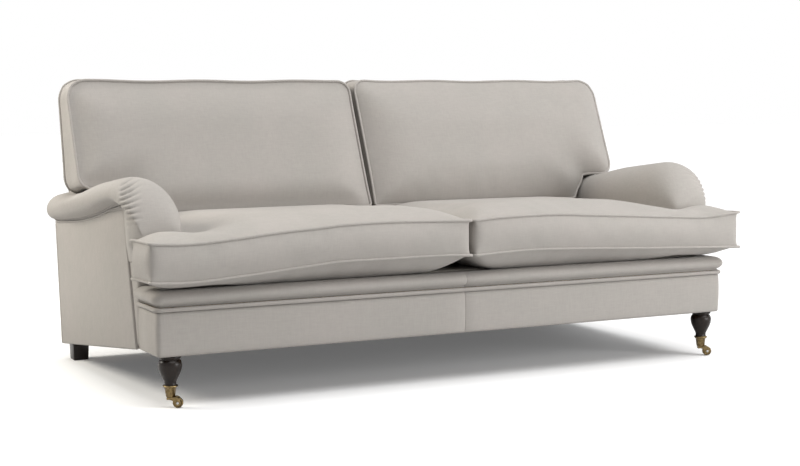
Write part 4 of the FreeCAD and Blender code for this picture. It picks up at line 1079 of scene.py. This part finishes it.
def woven(name, colour, slub, relief):
    """Plain weave: slubs along and across the cloth, a fine thread relief and a soft sheen."""
    tree, node = shader(name, colour, 0.92)
    node.inputs["Sheen Weight"].default_value = 0.12
    node.inputs["Sheen Roughness"].default_value = 0.5
    node.inputs["Specular IOR Level"].default_value = 0.2
    across = noise_node(tree, 75, 4, (0.5, 1, 5))
    upright = noise_node(tree, 75, 4, (5, 1, 0.5))
    cloud = noise_node(tree, 7, 3)
    threads = maths(tree, "ADD", across.outputs["Fac"], upright.outputs["Fac"])
    halved = maths(tree, "MULTIPLY", threads, 0.5)
    yarn = tint(tree, halved, scaled(colour, 1 - slub), scaled(colour, 1 + slub), None)
    haze = tint(tree, cloud.outputs["Fac"], (0.95, 0.955, 0.95), (1.0, 0.99, 0.99), None, (0.3, 0.7))
    mix = tree.nodes.new("ShaderNodeMix")
    mix.data_type = "RGBA"
    mix.blend_type = "MULTIPLY"
    mix.inputs["Factor"].default_value = 1.0
    tree.links.new(yarn.outputs["Color"], mix.inputs["A"])
    tree.links.new(haze.outputs["Color"], mix.inputs["B"])
    tree.links.new(mix.outputs["Result"], node.inputs["Base Color"])
    fine = noise_node(tree, 700, 2)
    bump = tree.nodes.new("ShaderNodeBump")
    bump.inputs["Strength"].default_value = relief
    bump.inputs["Distance"].default_value = 0.0006
    tree.links.new(fine.outputs["Fac"], bump.inputs["Height"])
    tree.links.new(bump.outputs["Normal"], node.inputs["Normal"])


def stained_wood(name, colour, gloss):
    tree, node = shader(name, colour, gloss)
    grain = noise_node(tree, 25, 4, (6, 6, 1))
    tint(tree, grain.outputs["Fac"], scaled(colour, 0.7), scaled(colour, 1.4), node.inputs["Base Color"])
    node.inputs["Specular IOR Level"].default_value = 0.22


def worn_metal(name, colour, roughness):
    tree, node = shader(name, colour, roughness)
    node.inputs["Metallic"].default_value = 1.0
    wear = noise_node(tree, 160, 4)
    tint(tree, wear.outputs["Fac"], scaled(colour, 0.6), scaled(colour, 1.15), node.inputs["Base Color"])


def finishes():
    colours = bpy.context.scene.sofa_colours
    woven("linen", tuple(colours.linen), 0.045, 0.6)
    woven("lining", (0.40, 0.37, 0.33), 0.04, 0.3)
    woven("dust_cloth", (0.02, 0.02, 0.02), 0.1, 0.2)
    woven("webbing", (0.30, 0.22, 0.14), 0.15, 0.5)
    stained_wood("leg_wood", tuple(colours.legs), 0.32)
    stained_wood("frame_wood", (0.45, 0.32, 0.19), 0.6)
    worn_metal("brass", tuple(colours.brass), 0.32)
    worn_metal("steel", (0.5, 0.5, 0.5), 0.35)


FLOOR_REACH = 30
FLOOR_DROP = 0.0005
FLOOR_BOUNCE = 0.50
FLOOR_PALE = 0.95
FLOOR_GLOW = 0.11
SKY_LIGHT = 0.26
SKY_SEEN = 1.0


def stage_floor():
    """Pale floor that keeps the shadow and reads white to the camera elsewhere."""
    bm = bmesh.new()
    bmesh.ops.create_grid(
        bm, x_segments=1, y_segments=1, size=FLOOR_REACH, matrix=Matrix.Translation((0, 0, -FLOOR_DROP))
    )
    material = bpy.data.materials.new("floor")
    material.use_nodes = True
    tree = material.node_tree
    tree.nodes.clear()
    out = tree.nodes.new("ShaderNodeOutputMaterial")
    diffuse = tree.nodes.new("ShaderNodeBsdfDiffuse")
    seen = seen_rays(tree)
    tree.links.new(ranged(tree, seen, FLOOR_BOUNCE, FLOOR_PALE), diffuse.inputs["Color"])
    glow = tree.nodes.new("ShaderNodeEmission")
    tree.links.new(ranged(tree, seen, 0.0, FLOOR_GLOW), glow.inputs["Strength"])
    both = tree.nodes.new("ShaderNodeAddShader")
    tree.links.new(diffuse.outputs["BSDF"], both.inputs[0])
    tree.links.new(glow.outputs["Emission"], both.inputs[1])
    tree.links.new(both.outputs["Shader"], out.inputs["Surface"])
    floor = new_piece("floor", bm, material, False)


def seen_rays(tree):
    """One for rays from the camera, mirrors and glass, nought for the light on the object."""
    rays = tree.nodes.new("ShaderNodeLightPath")
    seen = maths(tree, "MAXIMUM", rays.outputs["Is Camera Ray"], rays.outputs["Is Glossy Ray"])
    return maths(tree, "MAXIMUM", seen, rays.outputs["Is Transmission Ray"])


def stage_world():
    world = bpy.data.worlds.new("studio")
    bpy.context.scene.world = world
    world.use_nodes = True
    tree = world.node_tree
    back = tree.nodes["Background"]
    back.inputs["Color"].default_value = (1, 1, 1, 1)
    tree.links.new(ranged(tree, seen_rays(tree), SKY_LIGHT, SKY_SEEN), back.inputs["Strength"])


def sun(name, aim, strength, spread):
    """Even light along one direction."""
    light = bpy.data.lights.new(name, "SUN")
    light.energy = strength
    light.angle = math.radians(spread)
    holder = bpy.data.objects.new(name, light)
    holder.rotation_euler = Vector(aim).to_track_quat("-Z", "Y").to_euler()
    bpy.context.scene.collection.objects.link(holder)


def soft_box(name, place, aim, size, power, colour=(1, 1, 1)):
    """Square soft box out of the picture."""
    light = bpy.data.lights.new(name, "AREA")
    light.shape = "SQUARE"
    light.size = size
    light.energy = power
    light.color = colour
    holder = bpy.data.objects.new(name, light)
    holder.location = place
    holder.rotation_euler = (Vector(aim) - Vector(place)).to_track_quat("-Z", "Y").to_euler()
    holder.visible_camera = False
    bpy.context.scene.collection.objects.link(holder)


def stage_camera():
    stage = bpy.context.scene.sofa_stage
    camera = bpy.data.cameras.new("camera")
    camera.lens = stage.lens
    camera.sensor_width = 36
    camera.clip_end = 200
    holder = bpy.data.objects.new("camera", camera)
    bpy.context.scene.collection.objects.link(holder)
    place = Vector(stage.camera) + Vector((0, FRONT_FACE, 0))
    turn = (
        Matrix.Rotation(-stage.yaw, 4, "Z")
        @ Matrix.Rotation(math.pi / 2 - stage.pitch, 4, "X")
        @ Matrix.Rotation(stage.roll, 4, "Z")
    )
    holder.matrix_world = Matrix.Translation(place) @ turn
    bpy.context.scene.camera = holder


class PieceOperator:
    """What all the operators share: each makes one group of pieces"""

    def execute(self, context):
        self.make()
        return {"FINISHED"}


class SOFA_OT_finishes(PieceOperator, bpy.types.Operator):
    """Makes the cloths, woods and metals"""

    bl_idname = "sofa.finishes"
    bl_label = "Finishes"

    def make(self):
        finishes()


class SOFA_OT_seat_cushions(PieceOperator, bpy.types.Operator):
    """Makes both seat cushions"""

    bl_idname = "sofa.seat_cushions"
    bl_label = "Seat cushions"

    def make(self):
        for end, sign in SIDES:
            seat_cushion(end, sign)


class SOFA_OT_back_cushions(PieceOperator, bpy.types.Operator):
    """Makes both back cushions"""

    bl_idname = "sofa.back_cushions"
    bl_label = "Back cushions"

    def make(self):
        for end, sign in SIDES:
            back_cushion(end, sign)


class SOFA_OT_arms(PieceOperator, bpy.types.Operator):
    """Makes both scrolled arms"""

    bl_idname = "sofa.arms"
    bl_label = "Arms"

    def make(self):
        for end, sign in SIDES:
            arm_pieces(end, sign)


class SOFA_OT_base_front(PieceOperator, bpy.types.Operator):
    """Makes the front border, its piping and the soft edge roll"""

    bl_idname = "sofa.base_front"
    bl_label = "Base front"

    def make(self):
        base_front()


class SOFA_OT_panels_and_back(PieceOperator, bpy.types.Operator):
    """Makes the outer panels, the back, the seat platform and the dust cloth"""

    bl_idname = "sofa.panels_and_back"
    bl_label = "Panels and back"

    def make(self):
        panels_and_back()


class SOFA_OT_inner_frame(PieceOperator, bpy.types.Operator):
    """Finishes the straps and the timber inside"""

    bl_idname = "sofa.inner_frame"
    bl_label = "Inner frame"

    def make(self):
        inner_frame()


class SOFA_OT_legs(PieceOperator, bpy.types.Operator):
    """Makes the front and rear legs"""

    bl_idname = "sofa.legs"
    bl_label = "Legs"

    def make(self):
        front_legs()
        rear_legs()


class SOFA_OT_castors(PieceOperator, bpy.types.Operator):
    """Makes the castors"""

    bl_idname = "sofa.castors"
    bl_label = "Castors"

    def make(self):
        castors()


class SOFA_OT_stage(PieceOperator, bpy.types.Operator):
    """Sets the floor, the light and the camera"""

    bl_idname = "sofa.stage"
    bl_label = "Stage"

    def make(self):
        stage_floor()
        stage_world()
        sun("top_light", aim=(-0.20, 0.24, -0.95), strength=2.65, spread=60)
        soft_box("front_box", place=(2.5, -3.4, 0.8), aim=(0.1, 0, 0.35), size=2.0, power=98)
        soft_box(
            "side_box",
            place=(-2.9, 1.1, 2.0),
            aim=(-0.95, 0.3, 0.35),
            size=1.2,
            power=66,
            colour=(1.0, 0.96, 0.87),
        )
        stage_camera()
        bpy.context.scene.view_settings.view_transform = "Standard"


OPERATORS = (
    SOFA_OT_finishes,
    SOFA_OT_seat_cushions,
    SOFA_OT_back_cushions,
    SOFA_OT_arms,
    SOFA_OT_base_front,
    SOFA_OT_panels_and_back,
    SOFA_OT_inner_frame,
    SOFA_OT_legs,
    SOFA_OT_castors,
    SOFA_OT_stage,
)


class SOFA_PT_panel(bpy.types.Panel):
    """Sidebar list of the sofa's pieces"""

    bl_idname = "SOFA_PT_panel"
    bl_label = "Sofa"
    bl_space_type = "VIEW_3D"
    bl_region_type = "UI"
    bl_category = "Sofa"

    def draw(self, context):
        for group in (context.scene.sofa_cushions, context.scene.sofa_colours, context.scene.sofa_stage):
            for name in group.__annotations__:
                self.layout.prop(group, name)
        for operator in OPERATORS:
            self.layout.operator(operator.bl_idname)


CLASSES = (SofaCushionSettings, SofaColourSettings, SofaStageSettings) + OPERATORS + (SOFA_PT_panel,)


def register():
    for kind in CLASSES:
        bpy.utils.register_class(kind)
    bpy.types.Scene.sofa_cushions = bpy.props.PointerProperty(type=SofaCushionSettings)
    bpy.types.Scene.sofa_colours = bpy.props.PointerProperty(type=SofaColourSettings)
    bpy.types.Scene.sofa_stage = bpy.props.PointerProperty(type=SofaStageSettings)


def unregister():
    del bpy.types.Scene.sofa_stage
    del bpy.types.Scene.sofa_colours
    del bpy.types.Scene.sofa_cushions
    for kind in reversed(CLASSES):
        bpy.utils.unregister_class(kind)


def main():
    register()
    for operator in OPERATORS:
        group, name = operator.bl_idname.split(".")
        getattr(getattr(bpy.ops, group), name)()


if __name__ == "__main__":
    main()
